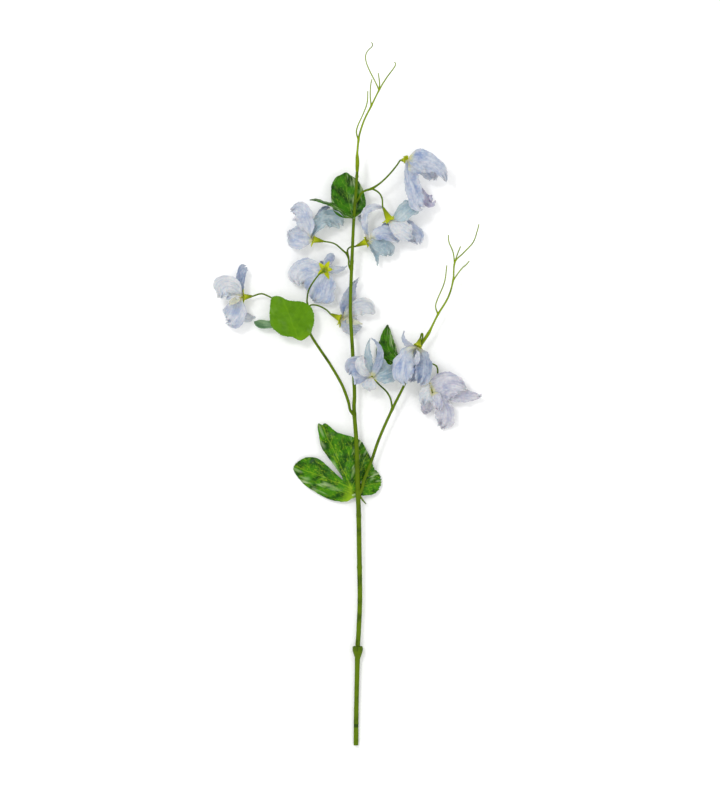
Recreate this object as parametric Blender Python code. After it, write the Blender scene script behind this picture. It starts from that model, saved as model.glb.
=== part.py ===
"""A cut sweet pea spray that lies on a flat surface, as named solids.

Tables are in millimetres. x runs across the spray, y up the stem from its cut end, and z up from
the surface. A blossom's petals are given from its hub, the point where they meet in the calyx.
Everything is moved at the end so that the origin is the middle of the spray's outline.
"""
import math
from collections import namedtuple

import bpy
from mathutils import Vector

MM = 0.001

# Driving dimensions, mm
FOOT_RADIUS = 2.4          # the cut end of the stem, which rests on the surface
STEM_RISE = 0.034          # height that the stem gains per mm of its length
SEAT_GAP = 0.3             # space between pieces that touch
COLLAR_FOOT, COLLAR_TOP = 86.0, 99.0
COLLAR_RADIUS, SOCKET_RADIUS, SOCKET_LENGTH = 5.2, 2.75, 18.0
MAIN_TOP = 576.0
PETAL_THICKNESS = 0.5
LEAF_THICKNESS = 0.8
LAYER_STEP = 1.35          # spacing of the petal layers along a blossom's axis
TAB_LENGTH = 2.0           # the tab behind a petal layer that has one lobe
PETAL_SEAT = 1.0           # how far from the axis a lobe starts
CLAW_LENGTH = 4.0          # the stretch over which a lobe turns out of the calyx
CLAW_OUT, CLAW_UP = 0.65, 0.75
OPEN_SHARE = 0.45          # how far along a lobe its face has turned to the light
CALYX_SEGMENTS = 20        # four to each of the five sepals
NECK_RADIUS, CALYX_RADIUS = 1.1, 4.0
SEPAL_REACH = 3.4          # how far a sepal's tip stands out from the rim
PLATE_RINGS = (0.45, 0.8, 1.0)   # shares of the way from a broad leaf's middle to its edge
PETAL_ROUNDING, LEAF_ROUNDING = 0.35, 0.15   # how far a tip bulges, as shares of the half width
CREASE_ANGLE = math.radians(60)
PETAL_ROUGHNESS, LEAF_ROUGHNESS, STEM_ROUGHNESS = 0.7, 0.35, 0.6

ROUND_SIDES, THIN_SIDES = 8, 6
PETAL_STEPS, PETAL_COLUMNS = 5, 4
LEAF_STEPS, LEAF_COLUMNS = 8, 4

# Half width along a lobe, as (share of the length, share of the full half width)
OUTLINES = {
    "fan": ((0.0, 0.12), (0.18, 0.38), (0.4, 0.80), (0.65, 1.0), (0.85, 0.92), (1.0, 0.52)),
    "flare": ((0.0, 0.12), (0.25, 0.45), (0.5, 0.7), (0.75, 0.9), (0.92, 1.0), (1.0, 0.85)),
    "oval": ((0.0, 0.16), (0.2, 0.55), (0.45, 0.95), (0.65, 1.0), (0.85, 0.75), (1.0, 0.34)),
    "strap": ((0.0, 0.25), (0.2, 0.6), (0.5, 0.95), (0.75, 1.0), (0.9, 0.88), (1.0, 0.55)),
    "crest": ((0.0, 0.3), (0.12, 0.75), (0.3, 1.0), (0.5, 0.84), (0.7, 0.54), (0.88, 0.42), (1.0, 0.26)),
    "flag": ((0.0, 0.15), (0.5, 0.3), (0.7, 0.6), (0.88, 1.0), (1.0, 0.7)),
    "round": ((0.0, 0.2), (0.2, 0.68), (0.45, 1.0), (0.75, 0.92), (1.0, 0.5)),
    "bell": ((0.0, 0.16), (0.18, 0.5), (0.38, 0.92), (0.65, 1.0), (0.88, 0.86), (1.0, 0.55)),
    "cap": ((0.0, 0.5), (0.15, 0.78), (0.4, 1.0), (0.65, 0.92), (0.85, 0.7), (1.0, 0.4)),
    "blade": ((0.0, 0.12), (0.2, 0.36), (0.45, 1.0), (0.75, 0.74), (1.0, 0.12)),
    "point": ((0.0, 0.35), (0.3, 0.85), (0.55, 1.0), (0.8, 0.55), (1.0, 0.12)),
    "leaf": ((0.0, 0.07), (0.1, 0.38), (0.3, 0.83), (0.5, 1.0), (0.75, 0.84), (0.92, 0.45), (1.0, 0.12)),
    "round leaf": ((0.0, 0.08), (0.1, 0.6), (0.3, 0.97), (0.5, 1.0), (0.75, 0.88), (0.92, 0.62),
                   (1.0, 0.32)),
    "stalked leaf": ((0.0, 0.1), (0.36, 0.12), (0.5, 0.62), (0.7, 1.0), (0.85, 0.86), (0.95, 0.5),
                     (1.0, 0.2)),
}

# One lobe of a petal: where its middle line passes halfway and ends, measured from the hub, its half
# width, its outline and how deeply it cups
Lobe = namedtuple("Lobe", "belly tip half_width outline cup", defaults=("fan", 0.18))
Blossom = namedtuple("Blossom", "hub axis calyx_length banner wings keel")

BLOSSOMS = {
    "a": Blossom(
        (50, 584, 22), (0.80, 0.05, 0.60), 6,
        (Lobe((12, -25, -5.4), (27, -40, -7.4), 6.5, "flag"), Lobe((16, -9, -4), (28, -19, -4), 6)),
        (Lobe((20.5, -3, 8), (40, -19.5, 3), 13, "crest"), Lobe((6, -24, 6), (15, -48, 3.5), 8.5, "strap")),
        (Lobe((9, -6, 13), (19, -13, 12), 3, "oval"),)),
    "b": Blossom(
        (33, 525, 19), (0.45, -0.85, -0.28), 13,
        (Lobe((14, 7, 3.6), (25, 17, 0.4), 9.6), Lobe((9.5, -8, 6), (21, -16.5, 3), 10)),
        (Lobe((16, -7.6, -5), (29, -23, -5.6), 9.3, "strap"), Lobe((-4, -7, -2), (-5, -12, -5), 4, "oval")),
        (Lobe((7, -8, -6), (14, -11, -11), 3.5, "oval"),)),
    "c": Blossom(
        (11, 503, 15.5), (0.87, 0.36, 0.33), 12,
        (Lobe((-2, 13, -1), (-8, 25, -2), 3, "strap"), Lobe((7, -8, -3), (10.5, -23, -6), 3.4, "point")),
        (Lobe((-3, 21, 3), (16, 33, 2), 3.8, "strap"), Lobe((13, -4, 0), (21, -13, -4), 9)),
        (Lobe((13, 8, 4), (30, 1, 1.5), 7.5),)),
    "d": Blossom(
        (-43, 505, 15), (-0.90, 0.15, 0.30), 11,
        (Lobe((3, 18, -4), (16, 32, -6), 2.8, "strap"), Lobe((-10, 1.5, -1.5), (-22, 6, -4), 12.5)),
        (Lobe((6, 16, 4.6), (27.5, 14.5, -5.5), 9.2, "flare"),),
        (Lobe((-7, 17, 9), (-19, 28.5, 8), 10.5),)),
    "e": Blossom(
        (-31, 475, 17.5), (0.10, 0.20, -0.97), 9,
        (Lobe((-15, -2, -3), (-25, -12, -7), 15), Lobe((-3, -14, -3), (-9, -29, -8), 15.5)),
        (Lobe((3, 8, -7), (9, 14, -4), 4.5), Lobe((10, 0, -7), (21, 3, -8), 3.8, "point")),
        (Lobe((-1, 4, -11), (-4, 8, -13), 3.5, "oval"),)),
    "f": Blossom(
        (-113, 447.5, 13), (-0.88, -0.10, 0.42), 10,
        (Lobe((-0.9, -13.2, -3.2), (10.5, -20, -11.9), 5), Lobe((-2, 16, -1), (3, 30.5, -5), 5, "strap")),
        (Lobe((-11, 8.5, 6), (-21.5, 2, 7), 12.5), Lobe((-6, -12.5, 2), (-14, -23, -3), 12.5)),
        (Lobe((-7, -3.5, 8), (-12, -7.5, 12), 3.5, "oval"),)),
    "g": Blossom(
        (-15, 426, 8.5), (0.85, -0.40, 0.25), 11,
        (Lobe((5.8, 14.8, 1.5), (16, 39, 3), 7.5, "blade"), Lobe((7, -5.5, -1.6), (17.5, -8.5, -2.4), 9.2)),
        (Lobe((13, 9.8, 3.6), (31.5, 7, 4.2), 9),),
        (Lobe((8, -2, 5.5), (20, -5, 4), 3, "oval"),)),
    "h": Blossom(
        (16, 368, 14), (-0.10, 0.15, 0.98), 9,
        (Lobe((-11, 5, 6), (-20.6, 5, 5.6), 13.6), Lobe((11, 4, 3.2), (20, 9, 0), 12)),
        (Lobe((-3.5, 15, 7), (-2.5, 37, 6), 4.3, "point"), Lobe((-2, -6, 6), (-3, -12.5, 3), 7)),
        (Lobe((7, 16, 10), (0, 38, 8.5), 4, "point"), Lobe((-9, 6, 12), (-10, 20, 12), 4.8))),
    "i": Blossom(
        (61, 398, 21.5), (-0.30, -0.85, 0.40), 9,
        (Lobe((-3, -16, -3.2), (-5, -32.5, -4.2), 10.5, "bell"),
         Lobe((-10, 3, 1), (-13, 15, -1), 3, "point")),
        (Lobe((-11, -14, 9), (-13, -35, 7), 11, "bell"), Lobe((5.4, -14, 6), (2.6, -36, 3), 8.5, "bell")),
        (Lobe((0, -9, 11.2), (-2, -18, 10.6), 2.6, "oval"),)),
    "j": Blossom(
        (76, 353, 12), (0.10, -0.20, 0.97), 9,
        (Lobe((25, -3, -1), (47.4, -4, -3), 7, "point"), Lobe((-4, -12, -3), (-6, -20.5, -5), 5.8, "round")),
        (Lobe((12, 5, 5), (30, 4, 3), 14, "cap"), Lobe((10, -15, 1), (9, -34, -8.2), 9.5, "strap")),
        (Lobe((-5, -3, 7), (-9, -11, 5), 8.5, "cap"), Lobe((4, -8, 6.4), (6, -17, 4), 6, "cap"))),
}

# A leaf: its seat, where its middle line passes halfway, its tip, and the way its upper face looks
Leaf = namedtuple("Leaf", "base belly tip half_width outline fold face", defaults=((0, 0, 1),))

LEAVES = {
    "shoot_leaf_small": Leaf((-49, 424, 12), (-78, 420, 9), (-101, 423, 4), 5, "stalked leaf", 0.3,
                             (0, 0.6, 0.8)),
    "top_leaf_round": Leaf((-3, 526, 17.5), (-8, 546, 14), (-10, 569, 15), 17, "round leaf", 0.12),
    "top_leaf_edge": Leaf((-3, 527, 22.6), (-24, 538, 25), (-45, 543.5, 27), 7, "leaf", 0.1,
                          (0.2, 0.95, 0.25)),
    "right_leaf_dark": Leaf((56.6, 383.6, 12.8), (38.6, 388, 9), (31.5, 419, 6), 8, "stalked leaf", 0.2),
    "right_leaf_pale": Leaf((53.3, 375.6, 12.8), (34.5, 380, 5.5), (26, 406, 2), 6.5, "stalked leaf", 0.2),
}

# A broad leaf: the point its veins run out from, and its edge from there round, all on its middle
Plate = namedtuple("Plate", "middle edge color")

PLATES = {
    "base_leaf": Plate(
        (-5, 257, 8),
        ((12, 250, 6.8), (18, 251, 5), (23, 256, 4.2), (25, 264, 3.8), (23, 271, 4), (18, 277, 5),
         (15, 286, 6), (10, 296, 7.4), (5, 304, 8.4), (-4, 308.5, 9), (-19, 313, 9.5), (-30, 321.5, 9.5),
         (-38, 321, 9), (-37, 310, 8), (-34, 297, 7.2), (-24, 286, 6.8), (-17, 277, 7), (-13.5, 266, 7.3),
         (-17, 266, 7.2), (-25, 274.5, 6.6), (-37, 286, 5.4), (-50, 287.5, 4), (-60, 281.5, 2.4),
         (-62, 274, 1.4), (-53, 262, 1.6), (-43, 254.5, 2.4), (-26, 245.5, 4), (-11, 243.3, 5.6),
         (-4, 246.5, 7.2), (3, 249, 7.8)),
        "leaf"),
    "shoot_leaf_large": Plate(
        (-61, 425, 20),
        ((-43.5, 416, 17), (-41.5, 425, 17), (-44, 436.5, 17.5), (-53, 442.5, 18.5), (-67, 444, 18.5),
         (-75, 448, 17), (-83.5, 447.5, 15), (-85.5, 438, 16), (-86, 428, 16.5), (-84, 418, 17),
         (-74, 409.5, 18), (-63, 407.5, 18), (-55, 404.2, 17), (-46.5, 409.5, 15.7)),
        "yellow leaf"),
}

# Stems are runs of (x, y, z, radius). A run that ends in a letter goes on to that blossom's calyx.
LOWER_STEM = ((0, 0, 2.4), (0.1, 18, 2.4), (0.1, 19, 2.15), (0.1, 20.5, 2.15), (0.1, 21.5, 2.4),
              (0.5, 45, 2.35), (1, 68, 2.4), (1.4, COLLAR_FOOT, 2.6))
MAIN_STEM = ((1.6, 88, 2.4), (1.8, 101, 2.4), (2.5, 112, 2.4), (3.9, 145, 2.4), (3.5, 178, 2.45),
             (2.7, 230, 2.4), (2, 251, 2.3), (0.5, 301, 2.15), (-1.9, 335, 1.95), (-1.5, 353, 1.85),
             (-3.5, 395, 1.8), (-5.3, 426, 1.75), (-5.5, 445, 1.7), (-4, 485, 1.65), (-2, 528, 1.5),
             (0, 552, 1.45), (1.3, MAIN_TOP, 1.35))

THORN = ((3.5, 250, 10.6, 1.1), (6.5, 245.5, 10.4, 0.9), (10, 241.3, 10, 0.5))

LEFT_SHOOT = (
    ((-5.8, 335, 13.9, 1.4), (-7.8, 344, 14, 1.5), (-14.4, 361, 14.2, 1.45), (-26, 381, 14.2, 1.4),
     (-29.4, 386, 14.2, 1.4), (-45.5, 411, 14, 1.3), (-47, 425, 13.8, 1.1), (-48, 440, 14.5, 0.9),
     (-48.8, 443.5, 15, 0.9), (-46.8, 455, 21, 0.8), (-39, 467, 27.5, 0.8), (-34.5, 471.5, 29, 0.8), "e"),
    ((-46.6, 420, 13.9, 0.9), (-59, 433, 13.6, 0.9), (-71, 441, 13.2, 0.85), (-84.3, 447, 12.2, 0.8),
     (-94, 451, 10.2, 0.8), "f"),
    ((-47.8, 437, 14.2, 0.8), (-45, 439.6, 13.4, 0.8), (-37.4, 439, 11, 0.8), (-29, 434.6, 7.4, 0.8), "g"),
)
RIGHT_SHOOT = (
    ((6.3, 257, 11.2, 1.5), (8, 265, 11.4, 1.6), (15.3, 284, 12, 1.6), (23.7, 308, 12.6, 1.5),
     (36.2, 336, 13, 1.4), (47, 357.6, 13.2, 1.3), (56, 378, 13.2, 1.2), (61, 391, 13, 1.2),
     (65.5, 400.5, 13, 1.2)),
    ((36.2, 336.5, 13, 0.9), (34.5, 346, 12, 0.9), (30.4, 353.4, 9.5, 0.85), (24.5, 359, 6, 0.8),
     (19.5, 364, 3.6, 0.8), "h"),
    ((63, 395.5, 13, 0.9), (64.5, 401, 15.8, 0.9), (66.3, 407, 18, 0.9), (66.2, 411, 19.2, 0.9),
     (65, 410.5, 19.8, 0.9), "i"),
    ((56, 378, 13.2, 0.8), (65, 381.5, 14, 0.8), (73.5, 381.6, 13.2, 0.8), (80, 379, 11, 0.8),
     (81.6, 373, 6.5, 0.8), (79.5, 363, 3.4, 0.8), "j"),
)
UPPER_PEDUNCLE = (
    ((3.3, 546, 21.1, 1.0), (4.6, 550, 21.2, 1.1), (9, 553.2, 21.3, 1.1), (16.4, 555.6, 21.5, 1.1),
     (26, 562.3, 22, 0.9), (34.6, 571, 21.6, 0.85), (41, 579, 19.8, 0.8), "a"),
    ((16, 555.4, 21.5, 0.9), (22.5, 551.4, 21.6, 0.85), (26, 545.3, 22.2, 0.8), "b"),
)
MIDDLE_PEDUNCLE = (
    ((-7, 479, 18.7, 1.0), (-7.2, 485, 18.6, 1.0), (-8.6, 490, 18.3, 1.1), (-12, 493, 18, 0.9),
     (-21.4, 500.7, 15.5, 0.8), "d"),
    ((-8.4, 489.6, 18.3, 0.9), (-8.2, 495, 16.6, 0.8), (-5, 497.6, 14.8, 0.8), "c"),
)
TOP_TENDRIL = (
    ((1.3, 576.4, 22, 1.8), (1.4, 580, 22.1, 2.0), (1.3, 586, 22.3, 1.8), (1.3, 591, 22.4, 1.15),
     (2.5, 603.5, 22.8, 1.0), (4.3, 612, 23, 0.95), (8.5, 624, 23, 0.9), (15.2, 637.4, 23, 0.85),
     (23, 653.2, 23, 0.75), (30.4, 665.3, 24.5, 0.65), (37, 674, 25.5, 0.6), (39.5, 678.6, 25.5, 0.55),
     (38.2, 680.8, 25, 0.5)),
    ((2.5, 603.5, 22.8, 0.8), (0.4, 611, 23.6, 0.7), (2, 618, 24.6, 0.65), (7, 629, 25.4, 0.6),
     (11, 640, 25.6, 0.6), (11.8, 652, 25.2, 0.5)),
    ((15.2, 637.4, 23, 0.7), (14.2, 647, 22.4, 0.6), (14.6, 658, 21.6, 0.55), (15.8, 664, 21.2, 0.5)),
    ((23, 653.2, 23, 0.7), (18.8, 662, 23.8, 0.6), (14, 671.4, 24.2, 0.6), (10.4, 680, 24.2, 0.55),
     (9.5, 687, 24, 0.55), (11.6, 692, 23.8, 0.5), (15.8, 696.2, 23.6, 0.5), (16.4, 699.2, 23.4, 0.5),
     (15.2, 700.5, 23.2, 0.5)),
    ((23, 653.2, 23, 0.65), (23.5, 660, 22, 0.6), (22.2, 670.2, 21, 0.5)),
)
RIGHT_TENDRIL = (
    ((65.7, 400.9, 13, 1.2), (69, 406.4, 13.2, 1.7), (73, 412.6, 13.5, 1.6), (75.6, 418, 13.9, 1.1),
     (81.8, 430.5, 14.6, 1.0), (91.7, 447, 15.8, 0.95), (96.7, 464, 16.6, 0.85), (98.4, 482, 17.2, 0.75),
     (106.6, 491, 17.8, 0.65), (116.6, 502, 18.6, 0.6), (120.7, 513.4, 19.2, 0.55), (122.4, 520, 19.4, 0.5)),
    ((81.8, 430.5, 14.6, 0.8), (79.3, 437.5, 15.6, 0.65), (81, 445, 16.6, 0.6), (88, 462, 18.6, 0.6),
     (90.4, 479, 19.6, 0.5)),
    ((96.7, 464, 16.6, 0.7), (104.5, 475, 15.6, 0.6), (110, 480, 15, 0.55), (112.8, 483.4, 14.8, 0.5)),
    ((98.2, 480, 17.1, 0.65), (96.7, 492, 17.8, 0.6), (92.6, 502, 18.4, 0.55), (92, 509.3, 18.6, 0.5)),
    ((98.4, 482, 17.2, 0.65), (100.8, 489.6, 16.4, 0.6), (104.2, 498, 15.6, 0.5)),
)

COLORS = {
    "stem": (0.115, 0.205, 0.018),
    "tendril": (0.23, 0.36, 0.03),
    "calyx": (0.40, 0.46, 0.01),
    "leaf": (0.045, 0.20, 0.007),
    "yellow leaf": (0.115, 0.33, 0.003),
    "banner": (0.56, 0.62, 0.76),
    "wings": (0.47, 0.56, 0.74),
    "keel": (0.74, 0.74, 0.58),
}


def clear_scene():
    for item in list(bpy.data.objects):
        bpy.data.objects.remove(item, do_unlink=True)


def make_material(name, color, roughness):
    material = bpy.data.materials.new(name)
    material.use_nodes = True
    shader = material.node_tree.nodes["Principled BSDF"]
    shader.inputs["Base Color"].default_value = (*color, 1.0)
    shader.inputs["Roughness"].default_value = roughness
    shader.inputs["Metallic"].default_value = 0.0
    material.diffuse_color = (*color, 1.0)
    return material


def make_object(name, points, faces, color, roughness=STEM_ROUGHNESS):
    """Add one closed mesh, given in mm, as an object with its own material."""
    mesh = bpy.data.meshes.new(name)
    mesh.from_pydata([tuple(point * MM) for point in points], [], faces)
    mesh.materials.append(make_material(f"{name}_{color}", COLORS[color], roughness))
    mesh.shade_smooth()
    mesh.set_sharp_from_angle(angle=CREASE_ANGLE)
    item = bpy.data.objects.new(name, mesh)
    bpy.context.scene.collection.objects.link(item)
    return item


def stem_height(y):
    return FOOT_RADIUS + STEM_RISE * y


def unit(vector):
    return Vector(vector).normalized()


def curve_point(points, position):
    """Catmull-Rom curve through the points; position runs from 0 to the number of spans."""
    span = min(int(position), len(points) - 2)
    share = position - span
    before = points[span - 1] if span > 0 else points[0] * 2 - points[1]
    start, end = points[span], points[span + 1]
    after = points[span + 2] if span + 2 < len(points) else end * 2 - start
    return 0.5 * (2 * start + (end - before) * share
                  + (2 * before - 5 * start + 4 * end - after) * share ** 2
                  + (3 * start - before - 3 * end + after) * share ** 3)


def ring_frames(centres):
    """Two cross vectors for each point of a path, carried along it without twist."""
    frames = []
    side = None
    for index, centre in enumerate(centres):
        ahead = centres[min(index + 1, len(centres) - 1)]
        behind = centres[max(index - 1, 0)]
        along = unit(ahead - behind)
        if side is None:
            side = along.orthogonal()
        side = unit(side - along * side.dot(along))
        frames.append((side, along.cross(side)))
    return frames


def tube_mesh(centres, radii, sides):
    """A closed tube: rings joined side by side, with a flat cap at each end."""
    points, faces = [], []
    for centre, radius, (side, up) in zip(centres, radii, ring_frames(centres)):
        for step in range(sides):
            angle = 2 * math.pi * step / sides
            points.append(centre + (side * math.cos(angle) + up * math.sin(angle)) * radius)
    for ring in range(len(centres) - 1):
        first, second = ring * sides, (ring + 1) * sides
        for step in range(sides):
            after = (step + 1) % sides
            faces.append((first + step, first + after, second + after, second + step))
    faces.append(tuple(reversed(range(sides))))
    last = (len(centres) - 1) * sides
    faces.append(tuple(last + step for step in range(sides)))
    return points, faces


def smooth_run(run, steps):
    """Centres and radii read from a smooth curve through a run of (x, y, z, radius)."""
    centres = [Vector(point[:3]) for point in run]
    radii = [Vector((point[3], 0, 0)) for point in run]
    count = (len(run) - 1) * steps
    places = [index / steps for index in range(count + 1)]
    return ([curve_point(centres, place) for place in places],
            [curve_point(radii, place).x for place in places])


def calyx_frame(blossom):
    """The hub, the axis out of the blossom, and the neck where its stalk ends."""
    hub, axis = Vector(blossom.hub), unit(blossom.axis)
    return hub, axis, hub - axis * blossom.calyx_length


def finish_run(run):
    """Replace a blossom's letter at the end of a run by a short straight piece up to its calyx."""
    if isinstance(run[-1], str):
        _, axis, neck = calyx_frame(BLOSSOMS[run[-1]])
        radius = run[-2][3]
        return run[:-1] + tuple((*(neck - axis * (SEAT_GAP + back)), radius) for back in (1.2, 0))
    return run


def unite(item, others):
    """Join the other solids into the first with exact unions."""
    for other in others:
        modifier = item.modifiers.new("join", "BOOLEAN")
        modifier.operation = "UNION"
        modifier.solver = "EXACT"
        modifier.object = other
        bpy.ops.object.select_all(action="DESELECT")
        bpy.context.view_layer.objects.active = item
        bpy.ops.object.modifier_apply(modifier=modifier.name)
        bpy.data.objects.remove(other, do_unlink=True)


def build_branching(name, runs, color, steps=1):
    solids = []
    for index, run in enumerate(runs):
        centres, radii = smooth_run(finish_run(run), steps)
        points, faces = tube_mesh(centres, radii, THIN_SIDES)
        solids.append(make_object(name if index == 0 else f"{name}_{index}", points, faces, color))
    unite(solids[0], solids[1:])
    return solids[0]


def build_lower_stem():
    """The cut stem up to its flared collar, with the socket that takes the main stem."""
    profile = [(x, y, radius) for x, y, radius in LOWER_STEM]
    x_top = LOWER_STEM[-1][0]
    profile += [(x_top + 0.1, COLLAR_TOP - 9, 3.6), (x_top + 0.2, COLLAR_TOP - 5, COLLAR_RADIUS - 0.2),
                (x_top + 0.3, COLLAR_TOP - 2, COLLAR_RADIUS), (x_top + 0.3, COLLAR_TOP, COLLAR_RADIUS - 0.5)]
    centres = [Vector((x, y, stem_height(y))) for x, y, _ in profile]
    radii = [radius for _, _, radius in profile]
    item = make_object("lower_stem", *tube_mesh(centres, radii, 2 * ROUND_SIDES), "stem")
    main_centres = [Vector((x, y, stem_height(y))) for x, y, _ in MAIN_STEM[:2]]
    along = unit(main_centres[1] - main_centres[0])
    bottom = main_centres[0] - along * SEAT_GAP
    cutter = make_object("socket_cutter", *tube_mesh([bottom, bottom + along * SOCKET_LENGTH],
                                                     [SOCKET_RADIUS] * 2, 2 * ROUND_SIDES), "stem")
    modifier = item.modifiers.new("socket", "BOOLEAN")
    modifier.operation = "DIFFERENCE"
    modifier.solver = "EXACT"
    modifier.object = cutter
    bpy.context.view_layer.objects.active = item
    bpy.ops.object.modifier_apply(modifier=modifier.name)
    bpy.data.objects.remove(cutter, do_unlink=True)


def build_main_stem():
    run = [(x, y, stem_height(y), radius) for x, y, radius in MAIN_STEM]
    centres, radii = smooth_run(run[1:], 2)
    first = Vector(run[0][:3])
    item = make_object("main_stem", *tube_mesh([first] + centres, [run[0][3]] + radii, ROUND_SIDES), "stem")
    centres, radii = smooth_run(THORN, 1)
    unite(item, [make_object("thorn", *tube_mesh(centres, radii, THIN_SIDES), "stem")])


def sepal_share(angle):
    """1 along the middle of a sepal, 0 between two of them."""
    return abs(math.cos(2.5 * angle)) ** 3


def build_calyx(letter, blossom):
    """A funnel from the stalk to five pointed sepals, with a shallow dish that takes the petals."""
    hub, axis, neck = calyx_frame(blossom)
    side = axis.orthogonal().normalized()
    up = axis.cross(side)
    length = blossom.calyx_length
    floor = -PETAL_THICKNESS / 2 - SEAT_GAP
    # radius, height, and how far the ring stands out and lifts at each sepal
    wide = CALYX_RADIUS
    rings = [(NECK_RADIUS, -length, 0, 0), (0.375 * wide, -0.86 * length, 0, 0),
             (0.575 * wide, -0.55 * length, 0, 0), (0.775 * wide, -0.25 * length, 0, 0),
             (0.925 * wide, floor - 1.0, 0, 0), (wide, floor - 0.5, SEPAL_REACH, 0.3),
             (0.95 * wide, floor, SEPAL_REACH - 0.3, 0.4), (0.65 * wide, floor - 0.2, 0, 0)]
    points, faces = [], []
    for radius, height, spread, lift in rings:
        for step in range(CALYX_SEGMENTS):
            angle = 2 * math.pi * step / CALYX_SEGMENTS
            share = sepal_share(angle)
            out = side * math.cos(angle) + up * math.sin(angle)
            points.append(hub + out * (radius + spread * share) + axis * (height + lift * share))
    count = CALYX_SEGMENTS
    for ring in range(len(rings) - 1):
        for step in range(count):
            after = (step + 1) % count
            faces.append((ring * count + step, ring * count + after,
                          (ring + 1) * count + after, (ring + 1) * count + step))
    faces.append(tuple(reversed(range(count))))
    faces.append(tuple((len(rings) - 1) * count + step for step in range(count)))
    make_object(f"calyx_{letter}", points, faces, "calyx")


def outline_share(outline, place):
    """Half width at a place along a lobe, read between the outline's points."""
    table = OUTLINES[outline]
    for (start, low), (end, high) in zip(table, table[1:]):
        if place <= end:
            share = (place - start) / (end - start)
            return low + (high - low) * share
    return table[-1][1]


def bezier(points, place):
    a, b, c, d = points
    rest = 1 - place
    return a * rest ** 3 + b * 3 * rest ** 2 * place + c * 3 * rest * place ** 2 + d * place ** 3


def middle_line(start, handle, belly, tip):
    """Bezier control points of a curve that leaves along the handle and passes the belly halfway."""
    second = start + handle
    third = (belly * 8 - start - second * 3 - tip) / 3
    return start, second, third, tip


def lobe_sections(line, near_face, far_face, half_width, outline, cup, steps, columns, rounding):
    """Cross-sections of a thin blade: for each, the middle points and the normal across the blade.

    The last sections bulge forward by the rounding, so that the tip is a curve.
    """
    sections = []
    for index in range(steps + 1):
        place = index / steps
        centre = bezier(line, place)
        along = unit(bezier(line, min(place + 0.01, 1)) - bezier(line, max(place - 0.01, 0)))
        blend = min(1.0, place / OPEN_SHARE)
        face = unit(near_face.lerp(far_face, blend * blend * (3 - 2 * blend)))
        side = unit(along.cross(face))
        normal = side.cross(along)
        width = half_width * outline_share(outline, place)
        row = []
        for column in range(columns + 1):
            across = 2 * column / columns - 1
            sag = cup * width * (across * across - 0.35)
            bulge = rounding * (1 - across * across) * place ** 6
            row.append(centre + side * width * across + normal * sag + along * bulge)
        sections.append((row, normal))
    return sections


def cell_triangles(sections, row, column):
    """One cell of a blade, cut across its shorter diagonal."""
    near, far = sections[row][0], sections[row + 1][0]
    a = row * len(near) + column
    b, c, d = a + 1, a + len(near) + 1, a + len(near)
    if (near[column] - far[column + 1]).length <= (near[column + 1] - far[column]).length:
        return (a, b, c), (a, c, d)
    return (b, c, d), (b, d, a)


def shell_mesh(sections, thickness):
    """Close a row of cross-sections into a thin solid, with its two faces cut alike."""
    columns = len(sections[0][0])
    points = []
    for sign in (1, -1):
        for row, normal in sections:
            points += [point + normal * (sign * thickness / 2) for point in row]
    rows = len(sections)
    lower = rows * columns
    faces = []
    for row in range(rows - 1):
        for column in range(columns - 1):
            for corners in cell_triangles(sections, row, column):
                faces.append(corners)
                faces.append(tuple(lower + corner for corner in reversed(corners)))
    for row in range(rows - 1):
        for column, flip in ((0, False), (columns - 1, True)):
            a, b = row * columns + column, (row + 1) * columns + column
            quad = (a, b, lower + b, lower + a)
            faces.append(tuple(reversed(quad)) if flip else quad)
    for column in range(columns - 1):
        for row, flip in ((0, True), (rows - 1, False)):
            a, b = row * columns + column, row * columns + column + 1
            quad = (a, b, lower + b, lower + a)
            faces.append(tuple(reversed(quad)) if flip else quad)
    return points, faces


def petal_sections(blossom, lobe, layer):
    """Sections of one lobe, from the calyx to its tip."""
    hub, axis, _ = calyx_frame(blossom)
    middle = hub + axis * (LAYER_STEP * layer)
    heading = Vector(lobe.belly)
    out = unit(heading - axis * heading.dot(axis))
    start = middle + out * (PETAL_SEAT - 0.1 * layer)
    handle = (out * CLAW_OUT + axis * CLAW_UP) * CLAW_LENGTH
    line = middle_line(start, handle, hub + heading, hub + Vector(lobe.tip))
    facing = axis * 0.45 + Vector((0, 0, 1 if axis.z > 0 else -1))
    return lobe_sections(line, unit(axis - out * 0.6), unit(facing), lobe.half_width, lobe.outline, lobe.cup,
                         PETAL_STEPS, PETAL_COLUMNS, PETAL_ROUNDING * lobe.half_width)


def build_petals(name, blossom, lobes, layer, color):
    """Two lobes, or one and a short tab, cut as one strip that runs through the calyx."""
    first = petal_sections(blossom, lobes[0], layer)
    if len(lobes) > 1:
        second = petal_sections(blossom, lobes[1], layer)
    else:
        hub, axis, _ = calyx_frame(blossom)
        row, normal = first[0]
        back = unit(hub + axis * (LAYER_STEP * layer) - row[len(row) // 2])
        second = [([point + back * TAB_LENGTH for point in reversed(row)], normal)]
    flipped = [(list(reversed(row)), normal) for row, normal in reversed(first)]
    points, faces = shell_mesh(flipped + second, PETAL_THICKNESS)
    make_object(name, points, faces, color, PETAL_ROUGHNESS)


def build_leaf(name, leaf):
    base, belly, tip = Vector(leaf.base), Vector(leaf.belly), Vector(leaf.tip)
    line = middle_line(base, (belly - base) * 0.5, belly, tip)
    face = unit(leaf.face)
    sections = lobe_sections(line, face, face, leaf.half_width, leaf.outline, leaf.fold,
                             LEAF_STEPS, LEAF_COLUMNS, LEAF_ROUNDING * leaf.half_width)
    make_object(name, *shell_mesh(sections, LEAF_THICKNESS), "leaf", LEAF_ROUGHNESS)


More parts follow.
